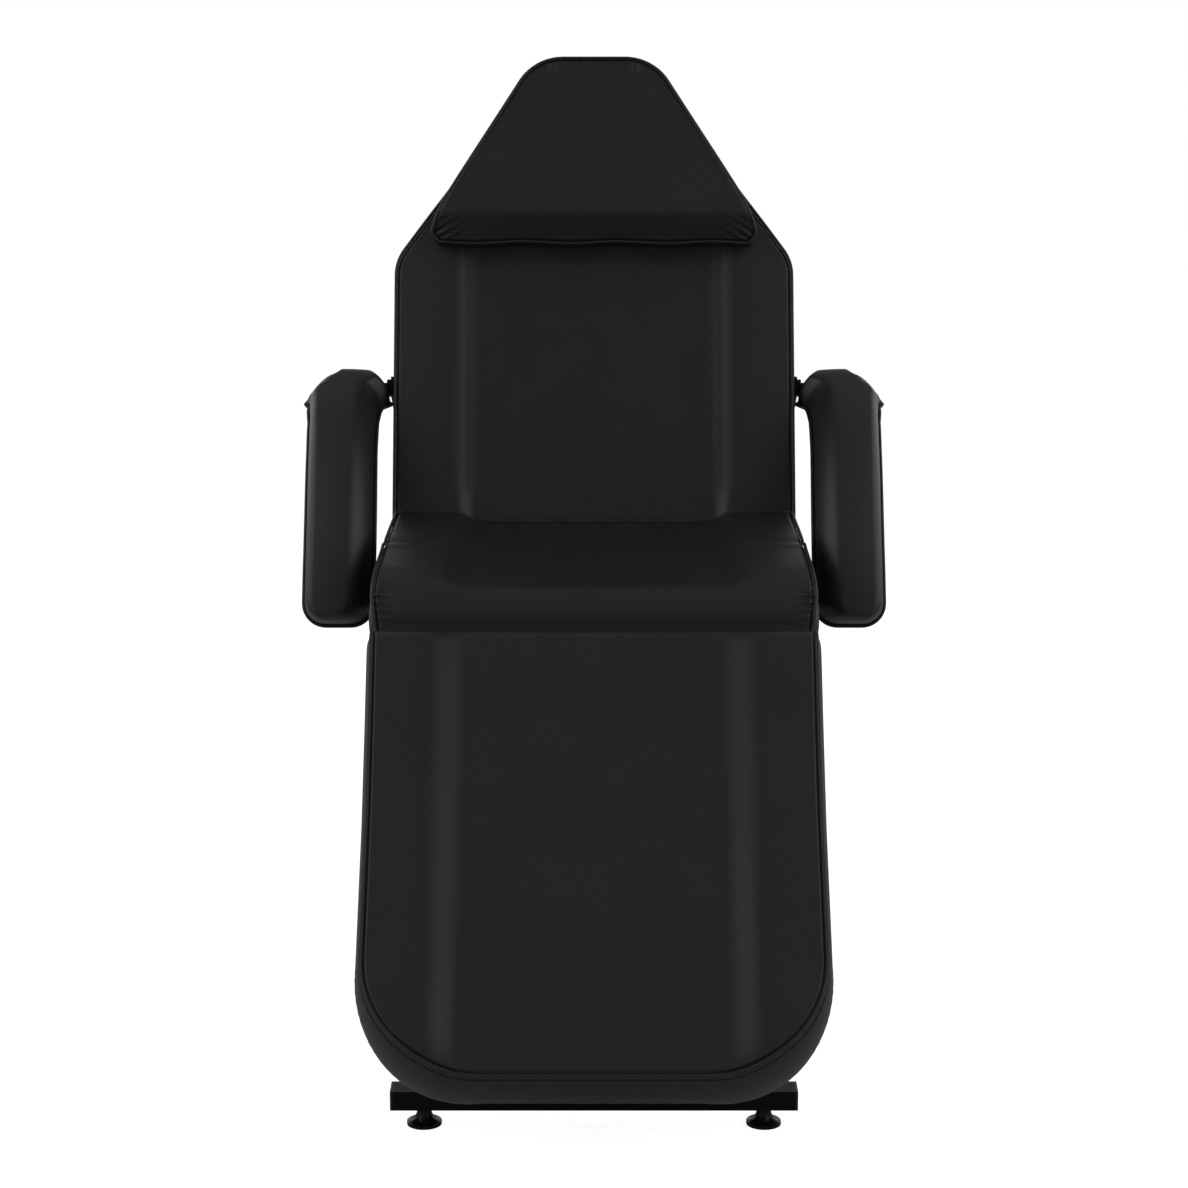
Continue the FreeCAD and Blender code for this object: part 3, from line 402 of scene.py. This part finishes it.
def make_seat():
    end = turn_length(SEAT_ROLL) + SEAT_LENGTH - SEAT_ROLL

    def gathers(flat, distance):
        near = np.clip(1.0 - distance / SEAT_GATHER_REACH, 0.0, 1.0) ** 2
        near = near * np.clip(distance / SEAT_GATHER_EDGE, 0.0, 1.0)
        wave = np.sin(flat * SEAT_GATHER_RATE + distance * SEAT_GATHER_SLANT)
        return SEAT_GATHER_RISE * wave * near * bump(flat, *SEAT_GATHER_SPOT)

    def lift(x, flat, distance):
        along = flat + SEAT_ROLL
        wide = np.abs(x)
        hem = SEAT_HEM_SHARE + (1.0 - SEAT_HEM_SHARE) * smooth(*SEAT_HEM_SPAN, flat)
        nose = SEAT_NOSE_DROP * (1.0 - smooth(*SEAT_NOSE_SPAN, along)) * hem
        level = SEAT_REAR_RISE * smooth(*SEAT_RISE_SPAN, along) - SEAT_SINK - nose
        slope = ramp(*SEAT_SLOPE_SPAN, wide, SEAT_SLOPE_SOFT)
        bolster = SEAT_BOLSTER_RISE * slope * smooth(*SEAT_BOLSTER_SPAN, along)
        fold = bump(along, *SEAT_RIDGE_SPOT) - bump(along, *SEAT_CREASE_SPOT)
        fold = SEAT_FOLD_RISE * fold * smooth(*SEAT_FOLD_SPAN, wide)
        return level + bolster + fold + gathers(flat, distance)

    def to_local(points):
        return points + np.array((0.0, SEAT_FRONT, 0.0))

    corners = [(SEAT_NOSE_HALF - WELT_INSET, 0.0, 0.0), (SEAT_HALF - WELT_INSET, PAD_THICK, SEAT_NOSE_ROUND),
               (SEAT_REAR_HALF - WELT_INSET, end, SEAT_REAR_ROUND), (0.0, end, 0.0)]
    wrapped_cushion("seat_upholstery", "base", ROW, "seat_cushion", SEAT_HEIGHT, SEAT_ROLL, corners, lift,
                    to_local, SEAT_BULGE, undercut=SEAT_UNDERCUT)


# Backrest. Its spans run up the face from the hinge
BACK_LOW = -64.0
BACK_SINK = 100.0
BACK_HIGH = 775.0
BACK_HALF = 298.0
BACK_TOP_HALF = 66.0
BACK_TOP_ROUND = 60.0
BACK_SHOULDER = 460.0
BACK_SHOULDER_ROUND = 62.0
BACK_ROLL = 30.0
BACK_BULGE = 5.0
BACK_GROW_SPAN = (70.0, 140.0)
BACK_FADE_SPAN = (470.0, 540.0)
BACK_FLOOR_HALF = 184.0
BACK_FLOOR_TAPER = 11.0
BACK_RIM_HALF = 190.0
BACK_RIM_FLARE = 16.0
BACK_SLOPE_SOFT = 6.0
BACK_CREASE_DEEP = 0.6
BACK_CREASE_WIDE = 3.5
BACK_FALL = 5.0
BACK_FALL_POWER = 1.5
BACK_HEM_FLARE = 25.0
BACK_HEM_SPAN = (500.0, 740.0)
BACK_HEM_SOFT = 10.0
BACK_HEM_TOP_SHARE = 0.2


def make_backrest():
    half = BACK_HALF - WELT_INSET
    start = turn_length(BACK_ROLL) - BACK_ROLL - BACK_LOW
    high = BACK_HIGH - WELT_INSET + start

    def lift(x, flat, distance):
        along = flat + BACK_ROLL + BACK_LOW
        wide = np.abs(x)
        grow = smooth(*BACK_GROW_SPAN, along)
        floor_half = BACK_FLOOR_HALF - BACK_FLOOR_TAPER * grow
        rim_half = BACK_RIM_HALF + BACK_RIM_FLARE * grow
        fade = 1.0 - smooth(*BACK_FADE_SPAN, along)
        dish = BOLSTER_RISE * (1.0 - ramp(floor_half, rim_half, wide, BACK_SLOPE_SOFT)) * fade
        crease = BACK_CREASE_DEEP * bump(wide, (floor_half + rim_half) / 2.0, BACK_CREASE_WIDE) * grow
        outside = np.clip((wide - rim_half) / (BACK_HALF - rim_half), 0.0, 1.0)
        fall = BACK_FALL * outside ** BACK_FALL_POWER * fade
        return BOLSTER_RISE - dish - fall - crease

    def spread(flat, side, end):
        up = ramp(*BACK_HEM_SPAN, flat + BACK_ROLL + BACK_LOW, BACK_HEM_SOFT)
        return BACK_HEM_FLARE * up * np.maximum(side, BACK_HEM_TOP_SHARE)

    def to_local(points):
        return points + np.array((0.0, BACK_LOW, 0.0))

    corners = [(half, 0.0, 0.0), (half, BACK_SHOULDER + start, BACK_SHOULDER_ROUND),
               (BACK_TOP_HALF - WELT_INSET / 2.0, high, BACK_TOP_ROUND), (0.0, high, 0.0)]
    wrapped_cushion("backrest_upholstery", "backrest", BACK, "backrest_cushion", BACK_SINK, BACK_ROLL,
                    corners, lift, to_local, BACK_BULGE, spread)


# Leg rest. Spans run down the face from the hinge. That of the brow's rise starts where the face turns flat
LEG_SINK = 122.0
LEG_REACH = 597.0
LEG_TOP_HALF = 290.0
LEG_HALF = 286.0
LEG_CORNER = 148.0
LEG_HEM_CORNER = 130.0
LEG_HEM_HANG = 4.0
LEG_ROLL = 8.0
LEG_BULGE = 10.0
LEG_FLOOR_HALF = 165.0
LEG_FLOOR_FLARE = 2.0
LEG_RIM_HALF = 206.0
LEG_RIM_TAPER = 9.0
LEG_SLOPE_SOFT = 9.0
LEG_BOLSTER_SHARE = 1.2
LEG_BOLSTER_SPAN = (0.0, 12.0)
LEG_BOLSTER_END = 46.0
LEG_BROW_RISE = 7.0
LEG_BROW_SPAN = (10.0, 140.0)
LEG_BROW_RISE_SPAN = (-60.0, -14.0)


def make_legrest():
    half = LEG_HALF - WELT_INSET
    reach = LEG_REACH - WELT_INSET
    end = turn_length(LEG_ROLL) + reach - LEG_ROLL

    def lift(x, flat, distance):
        along = flat + LEG_ROLL
        down = along / reach
        floor_half = LEG_FLOOR_HALF + LEG_FLOOR_FLARE * down
        rim_half = LEG_RIM_HALF - LEG_RIM_TAPER * down
        bolster = LEG_BOLSTER_SHARE * BOLSTER_RISE * ramp(floor_half, rim_half, np.abs(x), LEG_SLOPE_SOFT)
        bolster = bolster * smooth(*LEG_BOLSTER_SPAN, along) * rolled(reach - along, LEG_BOLSTER_END)
        brow = LEG_BROW_RISE * (1.0 - smooth(*LEG_BROW_SPAN, along)) * smooth(*LEG_BROW_RISE_SPAN, flat)
        return brow + bolster

    def spread(flat, side, end):
        at_corner = side + np.abs(end) - 1.0
        return (LEG_CORNER - LEG_HEM_CORNER) * at_corner + LEG_HEM_HANG * np.maximum(end, 0.0)

    def to_local(points):
        return points * np.array((-1.0, -1.0, 1.0))

    corners = [(LEG_TOP_HALF - WELT_INSET, 0.0, 0.0), (half, end / 2.0, 0.0),
               (half, end, LEG_CORNER - WELT_INSET), (0.0, end, 0.0)]
    wrapped_cushion("legrest_upholstery", "legrest", LEG, "legrest_cushion", LEG_SINK, LEG_ROLL, corners,
                    lift, to_local, LEG_BULGE, spread)


# Puffed pads with one piped seam round them

def puffed_pad(name, body, nodes, outline, centre, thickness, seam, to_row, columns, pitch):
    """Builds a pad over a flat base pattern. centre shifts each row, thickness gives the height, seam the
    height and outward offset of the cord, and to_row maps (x, s, height) to the row frame."""
    pattern, half = flat_grid(outline, stations(outline, pitch), columns)
    x, s = pattern[..., 0], pattern[..., 1]
    loop = rim(pattern, True)
    distance = edge_distance(pattern, np.concatenate([loop, loop[:1]]))
    across = x + centre(s)
    build = Builder()
    build.grid(to_row(across, s, thickness(x, s, distance, half)))
    build.grid(to_row(across, s, np.full_like(x, -BASE_DROP)), flip=True)
    thing = build.piece(name, ROW, leather)
    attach(thing, body)
    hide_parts(*nodes)
    ahead = normalised(np.roll(loop, -1, axis=0) - np.roll(loop, 1, axis=0))
    height, outward = seam(loop[:, 1])
    cord = loop + np.stack([-ahead[:, 1], ahead[:, 0]], axis=1) * outward[:, None]
    line = to_row(cord[:, 0] + centre(cord[:, 1]), cord[:, 1], height)
    welt(name + "_piping", line, True, ROW, body)


# Pillow. Its place is measured up the backrest's face from the hinge. Spans run up from its low edge, but
# the groove's runs in from its outline, and the tuck's spot lies out from the middle
PILLOW_LOW = 481.0
PILLOW_HIGH = 760.0
PILLOW_HALF = 245.0
PILLOW_LOW_ROUND = 14.0
PILLOW_CHEEK = 536.0
PILLOW_CHEEK_HALF = 221.0
PILLOW_CHEEK_ROUND = 40.0
PILLOW_TOP_HALF = 88.0
PILLOW_TOP_ROUND = 74.0
PILLOW_REST = 111.6
PILLOW_THICK = 54.0
PILLOW_THINNING = 24.0
PILLOW_THIN_SPAN = (40.0, 290.0)
PILLOW_EDGE_SHARE = 0.45
PILLOW_CHAMFER_SPAN = (2.0, 38.0)
PILLOW_CHAMFER_SOFT = 3.0
PILLOW_WALL = 2.0
PILLOW_WALL_POWER = 2.6
PILLOW_GROOVE_SHARE = 0.07
PILLOW_GROOVE_SPAN = (3.0, 4.6)
PILLOW_TUCK_RISE = 2.0
PILLOW_TUCK_SPOT = (61.0, 6.0)
PILLOW_TUCK_SPAN = (237.0, 273.0)
PILLOW_TUCK_EDGE = 6.0
PILLOW_GATHER_RISE = 2.4
PILLOW_GATHER_INSET = 12.0
PILLOW_GATHER_REACH = 16.0
PILLOW_GATHER_EDGE = 8.0
PILLOW_GATHER_RATE = 0.62
PILLOW_GATHER_SLANT_SHARE = 0.5
PILLOW_WAVE = 1.5
PILLOW_WAVE_RATE = 0.045
PILLOW_WAVE_FADE = 10.0
PILLOW_COLUMNS = 141
PILLOW_PITCH = 2.5


def make_pillow():
    corners = [(0.0, PILLOW_LOW, 0.0), (PILLOW_HALF, PILLOW_LOW, PILLOW_LOW_ROUND),
               (PILLOW_CHEEK_HALF, PILLOW_CHEEK, PILLOW_CHEEK_ROUND),
               (PILLOW_TOP_HALF, PILLOW_HIGH, PILLOW_TOP_ROUND), (0.0, PILLOW_HIGH, 0.0)]
    turned = np.array(BACK.to_3x3()).T
    origin = np.array(BACK.translation) / MM

    def crown(up):
        thick = PILLOW_THICK - PILLOW_THINNING * smooth(*PILLOW_THIN_SPAN, up)
        chamfer = (1.0 - PILLOW_EDGE_SHARE) * ramp(*PILLOW_CHAMFER_SPAN, up, PILLOW_CHAMFER_SOFT)
        return thick * (PILLOW_EDGE_SHARE + chamfer)

    def seam(s):
        return WELT_BASE_UP + crown(s - PILLOW_LOW), np.zeros_like(s)

    def gathers(wide, up, distance):
        inset = np.hypot(wide - PILLOW_HALF + PILLOW_GATHER_INSET, up - PILLOW_GATHER_INSET)
        wave = np.sin((wide * PILLOW_GATHER_SLANT_SHARE + up) * PILLOW_GATHER_RATE)
        near = np.exp(-inset / PILLOW_GATHER_REACH) * np.clip(distance / PILLOW_GATHER_EDGE, 0.0, 1.0)
        return PILLOW_GATHER_RISE * wave * near

    def thickness(x, s, distance, width):
        up = s - PILLOW_LOW
        wide = np.abs(x)
        wall = (1.0 - PILLOW_GROOVE_SHARE) * rolled(distance, PILLOW_WALL, PILLOW_WALL_POWER)
        wall = wall + PILLOW_GROOVE_SHARE * smooth(*PILLOW_GROOVE_SPAN, distance)
        tuck = bump(wide, *PILLOW_TUCK_SPOT) * smooth(*PILLOW_TUCK_SPAN, up)
        tuck = PILLOW_TUCK_RISE * tuck * np.clip(distance / PILLOW_TUCK_EDGE, 0.0, 1.0)
        return crown(up) * wall + tuck + gathers(wide, up, distance)

    def to_row(x, s, height):
        fade = np.exp(-np.abs(s - PILLOW_LOW) / PILLOW_WAVE_FADE)
        wave = PILLOW_WAVE * np.sin(x * PILLOW_WAVE_RATE) * fade
        return np.stack([x, s + wave, PILLOW_REST + height], axis=-1) @ turned + origin

    puffed_pad("pillow_upholstery", "pillow", ["head_pillow"], half_outline(corners)[1:-1], np.zeros_like,
               thickness, seam, to_row, PILLOW_COLUMNS, PILLOW_PITCH)


# Armrests: an arc about an axis at (y, z). Spans and spots run from the rear end forward
ARM_AXIS = (477.0, 414.0)
ARM_RADIUS = 388.0
ARM_REAR_ANGLE = 96.0
ARM_SWEEP = 67.6
ARM_INNER = 311.5
ARM_WIDTH = 94.0
ARM_CROWN = 46.0
ARM_FRONT_CORNER = 30.0
# How far each side stands out past half the width, and where: the ears at the rear end
ARM_EARS = ((3.0, 0.0), (6.0, 32.0), (15.0, 50.0), (5.0, 64.0), (1.0, 110.0), (0.0, 180.0))
ARM_EAR_SHIFT = 5.0
ARM_EAR_SPOT = (50.0, 14.0)
ARM_SPLAY = 10.0
ARM_SPLAY_SHARE = 0.8
ARM_DOME_SPAN = (32.0, 90.0)
ARM_DOME_RISE = 4.0
ARM_OUTER_ROUND = 15.0
ARM_OUTER_DOME = 33.0
ARM_OUTER_POWER = 2.3
ARM_DOME_POWER = 1.1
ARM_INNER_ROUND = 36.0
ARM_INNER_DOME = 18.0
ARM_INNER_POWER = 1.9
ARM_CAMBER_SHARE = 0.08
ARM_FRONT_ROUND = 16.0
ARM_FRONT_POWER = 2.4
ARM_REAR_ROUND = 38.0
ARM_COLUMNS = 61
ARM_PITCH = 5.0


def make_arm(side, name):
    length = ARM_RADIUS * math.radians(ARM_SWEEP)
    half = ARM_WIDTH / 2.0
    ears = [(half + out, s, 0.0) for out, s in ARM_EARS]
    corners = [(0.0, 0.0, 0.0), *ears, (half, length, ARM_FRONT_CORNER), (0.0, length, 0.0)]

    def centre(s):
        splay = ARM_SPLAY * (1.0 - smooth(0.0, ARM_SPLAY_SHARE * length, s))
        return ARM_INNER + half + splay - ARM_EAR_SHIFT * bump(s, *ARM_EAR_SPOT)

    def seam(s):
        return np.full_like(s, WELT_BASE_UP), np.full_like(s, WELT_OUT)

    def thickness(x, s, distance, width):
        dome = 1.0 - smooth(*ARM_DOME_SPAN, s)
        outer_round = ARM_OUTER_ROUND + ARM_OUTER_DOME * dome
        outer = rolled(width - x, outer_round, ARM_OUTER_POWER - ARM_DOME_POWER * dome)
        inner = rolled(width + x, ARM_INNER_ROUND - ARM_INNER_DOME * dome, ARM_INNER_POWER)
        camber = 1.0 - ARM_CAMBER_SHARE * (x / width) ** 2
        ends = rolled(length - s, ARM_FRONT_ROUND, ARM_FRONT_POWER) * rolled(s, ARM_REAR_ROUND)
        return (ARM_CROWN + ARM_DOME_RISE * dome) * outer * inner * camber * ends

    def to_row(x, s, height):
        angle = math.radians(ARM_REAR_ANGLE) + s / ARM_RADIUS
        reach = ARM_RADIUS + height
        y = ARM_AXIS[0] + reach * np.cos(angle)
        z = ARM_AXIS[1] + reach * np.sin(angle)
        return np.stack([side * x, y, z], axis=-1)

    puffed_pad(f"armrest_upholstery_{name}", f"arm_{name}", [f"armrest_pad_{name}"],
               half_outline(corners)[1:-1], centre, thickness, seam, to_row, ARM_COLUMNS, ARM_PITCH)


# Materials. Depths are in metres
PORE_DEPTH = 0.0004
SWAY_DEPTH = 0.01
TEXTURE_DEPTH = 0.0005
TONE_SHARES = (0.35, 0.65)


def new_material(name):
    material = bpy.data.materials.new(name)
    material.use_nodes = True
    nodes = material.node_tree.nodes
    return material, nodes, material.node_tree.links, nodes["Principled BSDF"]


def add(nodes, kind, **values):
    """Adds a node and sets its sockets or, where it has no such socket, its properties."""
    made = nodes.new(kind)
    for name, value in values.items():
        if name in made.inputs:
            made.inputs[name].default_value = value
        else:
            setattr(made, name, value)
    return made


def toned(nodes, links, source, low, high, target):
    """Feeds a noise through a two-colour ramp into a socket."""
    tones = add(nodes, "ShaderNodeValToRGB")
    first, last = tones.color_ramp.elements
    first.position, last.position = TONE_SHARES
    first.color = (*low, 1.0)
    last.color = (*high, 1.0)
    links.new(source, tones.inputs["Fac"])
    links.new(tones.outputs["Color"], target)


def make_leather(name, low, high, roughness, grain):
    """Smooth synthetic leather: fine pores over a slight sway."""
    material, nodes, links, shader = new_material(name)
    place = add(nodes, "ShaderNodeTexCoord").outputs["Object"]
    cloud = add(nodes, "ShaderNodeTexNoise", Scale=14.0, Detail=4.0)
    links.new(place, cloud.inputs["Vector"])
    toned(nodes, links, cloud.outputs["Fac"], low, high, shader.inputs["Base Color"])
    pores = add(nodes, "ShaderNodeTexVoronoi", Scale=620.0, feature="DISTANCE_TO_EDGE")
    links.new(place, pores.inputs["Vector"])
    fine = add(nodes, "ShaderNodeBump", Strength=grain, Distance=PORE_DEPTH)
    links.new(pores.outputs["Distance"], fine.inputs["Height"])
    sway = add(nodes, "ShaderNodeTexNoise", Scale=9.0, Detail=2.0)
    links.new(place, sway.inputs["Vector"])
    broad = add(nodes, "ShaderNodeBump", Strength=0.04, Distance=SWAY_DEPTH)
    links.new(sway.outputs["Fac"], broad.inputs["Height"])
    links.new(fine.outputs["Normal"], broad.inputs["Normal"])
    links.new(broad.outputs["Normal"], shader.inputs["Normal"])
    shader.inputs["Roughness"].default_value = roughness
    shader.inputs["Specular IOR Level"].default_value = 0.5
    return material


def make_surface(name, low, high, roughness, scale, texture, metallic=0.0, gloss=0.5):
    """Plain hard finish with a slight cloud in its colour and a fine texture."""
    material, nodes, links, shader = new_material(name)
    place = add(nodes, "ShaderNodeTexCoord").outputs["Object"]
    cloud = add(nodes, "ShaderNodeTexNoise", Scale=scale, Detail=5.0)
    links.new(place, cloud.inputs["Vector"])
    toned(nodes, links, cloud.outputs["Fac"], low, high, shader.inputs["Base Color"])
    fine = add(nodes, "ShaderNodeBump", Strength=texture, Distance=TEXTURE_DEPTH)
    links.new(cloud.outputs["Fac"], fine.inputs["Height"])
    links.new(fine.outputs["Normal"], shader.inputs["Normal"])
    shader.inputs["Roughness"].default_value = roughness
    shader.inputs["Metallic"].default_value = metallic
    shader.inputs["Specular IOR Level"].default_value = gloss
    return material


def make_plywood(name):
    """Birch plywood: long grain with darker streaks."""
    material, nodes, links, shader = new_material(name)
    place = add(nodes, "ShaderNodeTexCoord").outputs["Object"]
    stretch = add(nodes, "ShaderNodeMapping", Scale=(30.0, 3.0, 3.0))
    links.new(place, stretch.inputs["Vector"])
    grain = add(nodes, "ShaderNodeTexNoise", Scale=4.0, Detail=8.0, Distortion=0.6)
    links.new(stretch.outputs["Vector"], grain.inputs["Vector"])
    dark = (0.30, 0.19, 0.10)
    light = (0.50, 0.36, 0.22)
    toned(nodes, links, grain.outputs["Fac"], dark, light, shader.inputs["Base Color"])
    shader.inputs["Roughness"].default_value = 0.7
    return material


leather = make_leather("BlackLeather", low=(0.0105, 0.0105, 0.011), high=(0.0125, 0.0125, 0.013),
                       roughness=0.45, grain=0.05)
piping = make_leather("Piping", low=(0.010, 0.010, 0.0105), high=(0.013, 0.013, 0.0135),
                      roughness=0.48, grain=0.03)
thread = make_surface("Thread", low=(0.008, 0.008, 0.008), high=(0.014, 0.014, 0.014),
                      roughness=0.7, scale=900.0, texture=0.2)
paint = make_surface("BlackPaint", low=(0.003, 0.003, 0.0033), high=(0.005, 0.005, 0.0053),
                     roughness=0.5, scale=700.0, texture=0.12, gloss=0.15)
steel = make_surface("StrutSteel", low=(0.42, 0.42, 0.43), high=(0.56, 0.56, 0.57),
                     roughness=0.38, scale=160.0, texture=0.05, metallic=1.0)
spring = make_surface("SpringSteel", low=(0.16, 0.16, 0.18), high=(0.24, 0.24, 0.27),
                      roughness=0.32, scale=120.0, texture=0.04, metallic=1.0)
zinc = make_surface("Zinc", low=(0.50, 0.50, 0.48), high=(0.62, 0.62, 0.60),
                    roughness=0.30, scale=240.0, texture=0.04, metallic=1.0)
foot = make_surface("FootPlastic", low=(0.006, 0.006, 0.006), high=(0.009, 0.009, 0.009),
                    roughness=0.22, scale=300.0, texture=0.05, gloss=0.3)
cap = make_surface("CapPlastic", low=(0.007, 0.007, 0.007), high=(0.010, 0.010, 0.010),
                   roughness=0.5, scale=500.0, texture=0.1)
plywood = make_plywood("Plywood")
FINISHES = {
    "black_leather": leather,
    "black_paint": paint,
    "strut_steel": steel,
    "spring_steel": spring,
    "zinc_fastener": zinc,
    "foot_plastic": foot,
    "cap_plastic": cap,
    "plywood": plywood,
}
slots = {part["node"]: part["material_slot"] for part in frame["record"]["subparts"]}
for node, thing in frame["nodes"].items():
    for place in thing.material_slots:
        place.material = FINISHES[slots[node]]

make_seat()
make_backrest()
make_legrest()
make_pillow()
make_arm(1.0, "right")
make_arm(-1.0, "left")

# Studio, in metres and watts. The side lamps stand on both sides
SIDE_WALL = {"place": (2.0, -0.3, 1.7), "target": (0.0, -0.3, 1.7), "size": (4.2, 2.4), "power": 23.0}
HIGH_SIDE = {"place": (1.9, -0.5, 2.8), "target": (0.0, -0.4, 0.5), "size": (2.6, 1.4), "power": 8.0}
BACK_WALL = {"place": (0.0, 2.6, 1.0), "target": (0.0, 0.0, 1.0), "size": (5.0, 1.4), "power": 14.0}
WHITE = (1.0, 1.0, 1.0, 1.0)
WORLD_STRENGTH = 0.21
FLOOR_HALF = 12.0
FLOOR_TONE = (0.6, 0.6, 0.6, 1.0)
FLOOR_ROUGHNESS = 0.9
FLOOR_GLOW = 0.9
BACKGROUND_RAYS = ("Is Camera Ray", "Is Transmission Ray")


def area_light(name, place, target, size, power, side=1.0):
    """Adds a rectangular lamp. side is -1 for the mirrored one of a pair."""
    lamp = bpy.data.lights.new(name, "AREA")
    lamp.shape = "RECTANGLE"
    lamp.size, lamp.size_y = size
    lamp.energy = power
    thing = bpy.data.objects.new(name, lamp)
    bpy.context.scene.collection.objects.link(thing)
    thing.location = Vector((side * place[0], place[1], place[2]))
    thing.rotation_euler = (Vector(target) - thing.location).to_track_quat("-Z", "Y").to_euler()
    thing.visible_camera = False


def background_rays(nodes, links):
    """Socket that is 1 for the rays that see the white background and 0 for all others."""
    path = add(nodes, "ShaderNodeLightPath")
    either = add(nodes, "ShaderNodeMath", operation="MAXIMUM")
    for kind, socket in zip(BACKGROUND_RAYS, either.inputs):
        links.new(path.outputs[kind], socket)
    return either.outputs["Value"]


def choose(nodes, links, plain, seen, target):
    """Feeds one shader to a socket, or another one for the rays that see the background."""
    mix = add(nodes, "ShaderNodeMixShader")
    links.new(background_rays(nodes, links), mix.inputs["Fac"])
    links.new(plain, mix.inputs[1])
    links.new(seen, mix.inputs[2])
    links.new(mix.outputs["Shader"], target)


def make_world():
    world = bpy.data.worlds.new("Studio")
    bpy.context.scene.world = world
    world.use_nodes = True
    nodes, links = world.node_tree.nodes, world.node_tree.links
    shade = nodes["Background"]
    shade.inputs["Color"].default_value = WHITE
    shade.inputs["Strength"].default_value = WORLD_STRENGTH
    white = add(nodes, "ShaderNodeBackground", Color=WHITE)
    target = nodes["World Output"].inputs["Surface"]
    choose(nodes, links, shade.outputs["Background"], white.outputs["Background"], target)


def make_floor():
    mesh = bpy.data.meshes.new("Floor")
    signs = ((-1, -1), (1, -1), (1, 1), (-1, 1))
    corners = [(x * FLOOR_HALF, y * FLOOR_HALF, 0.0) for x, y in signs]
    mesh.from_pydata(corners, [], [(0, 1, 2, 3)])
    floor = bpy.data.objects.new("Floor", mesh)
    bpy.context.scene.collection.objects.link(floor)
    material, nodes, links, shader = new_material("PaleFloor")
    shader.inputs["Base Color"].default_value = FLOOR_TONE
    shader.inputs["Roughness"].default_value = FLOOR_ROUGHNESS
    shader.inputs["Specular IOR Level"].default_value = 0.0
    glow = add(nodes, "ShaderNodeEmission", Strength=FLOOR_GLOW)
    lit = add(nodes, "ShaderNodeAddShader")
    links.new(shader.outputs["BSDF"], lit.inputs[0])
    links.new(glow.outputs["Emission"], lit.inputs[1])
    target = nodes["Material Output"].inputs["Surface"]
    choose(nodes, links, shader.outputs["BSDF"], lit.outputs["Shader"], target)
    mesh.materials.append(material)


# Camera, with its place in millimetres, its pitch in degrees and its clip in metres
CAMERA_PLACE = (0.0, -3790.4, 1431.0)
CAMERA_PITCH = 12.5
CAMERA_CLIP = 100.0
LENS = 86.36
SENSOR = 36.0


def make_camera():
    camera = bpy.data.cameras.new("Camera")
    camera.sensor_width = SENSOR
    camera.lens = LENS
    camera.clip_end = CAMERA_CLIP
    thing = bpy.data.objects.new("Camera", camera)
    bpy.context.scene.collection.objects.link(thing)
    thing.location = Vector(CAMERA_PLACE) * MM
    thing.rotation_euler = (math.radians(90.0 - CAMERA_PITCH), 0.0, 0.0)
    bpy.context.scene.camera = thing
    bpy.context.scene.view_settings.view_transform = "Standard"


for side in (-1.0, 1.0):
    area_light("SideWall", side=side, **SIDE_WALL)
    area_light("HighSide", side=side, **HIGH_SIDE)
area_light("BackWall", **BACK_WALL)
make_world()
make_floor()
make_camera()

bpy.context.view_layer.update()
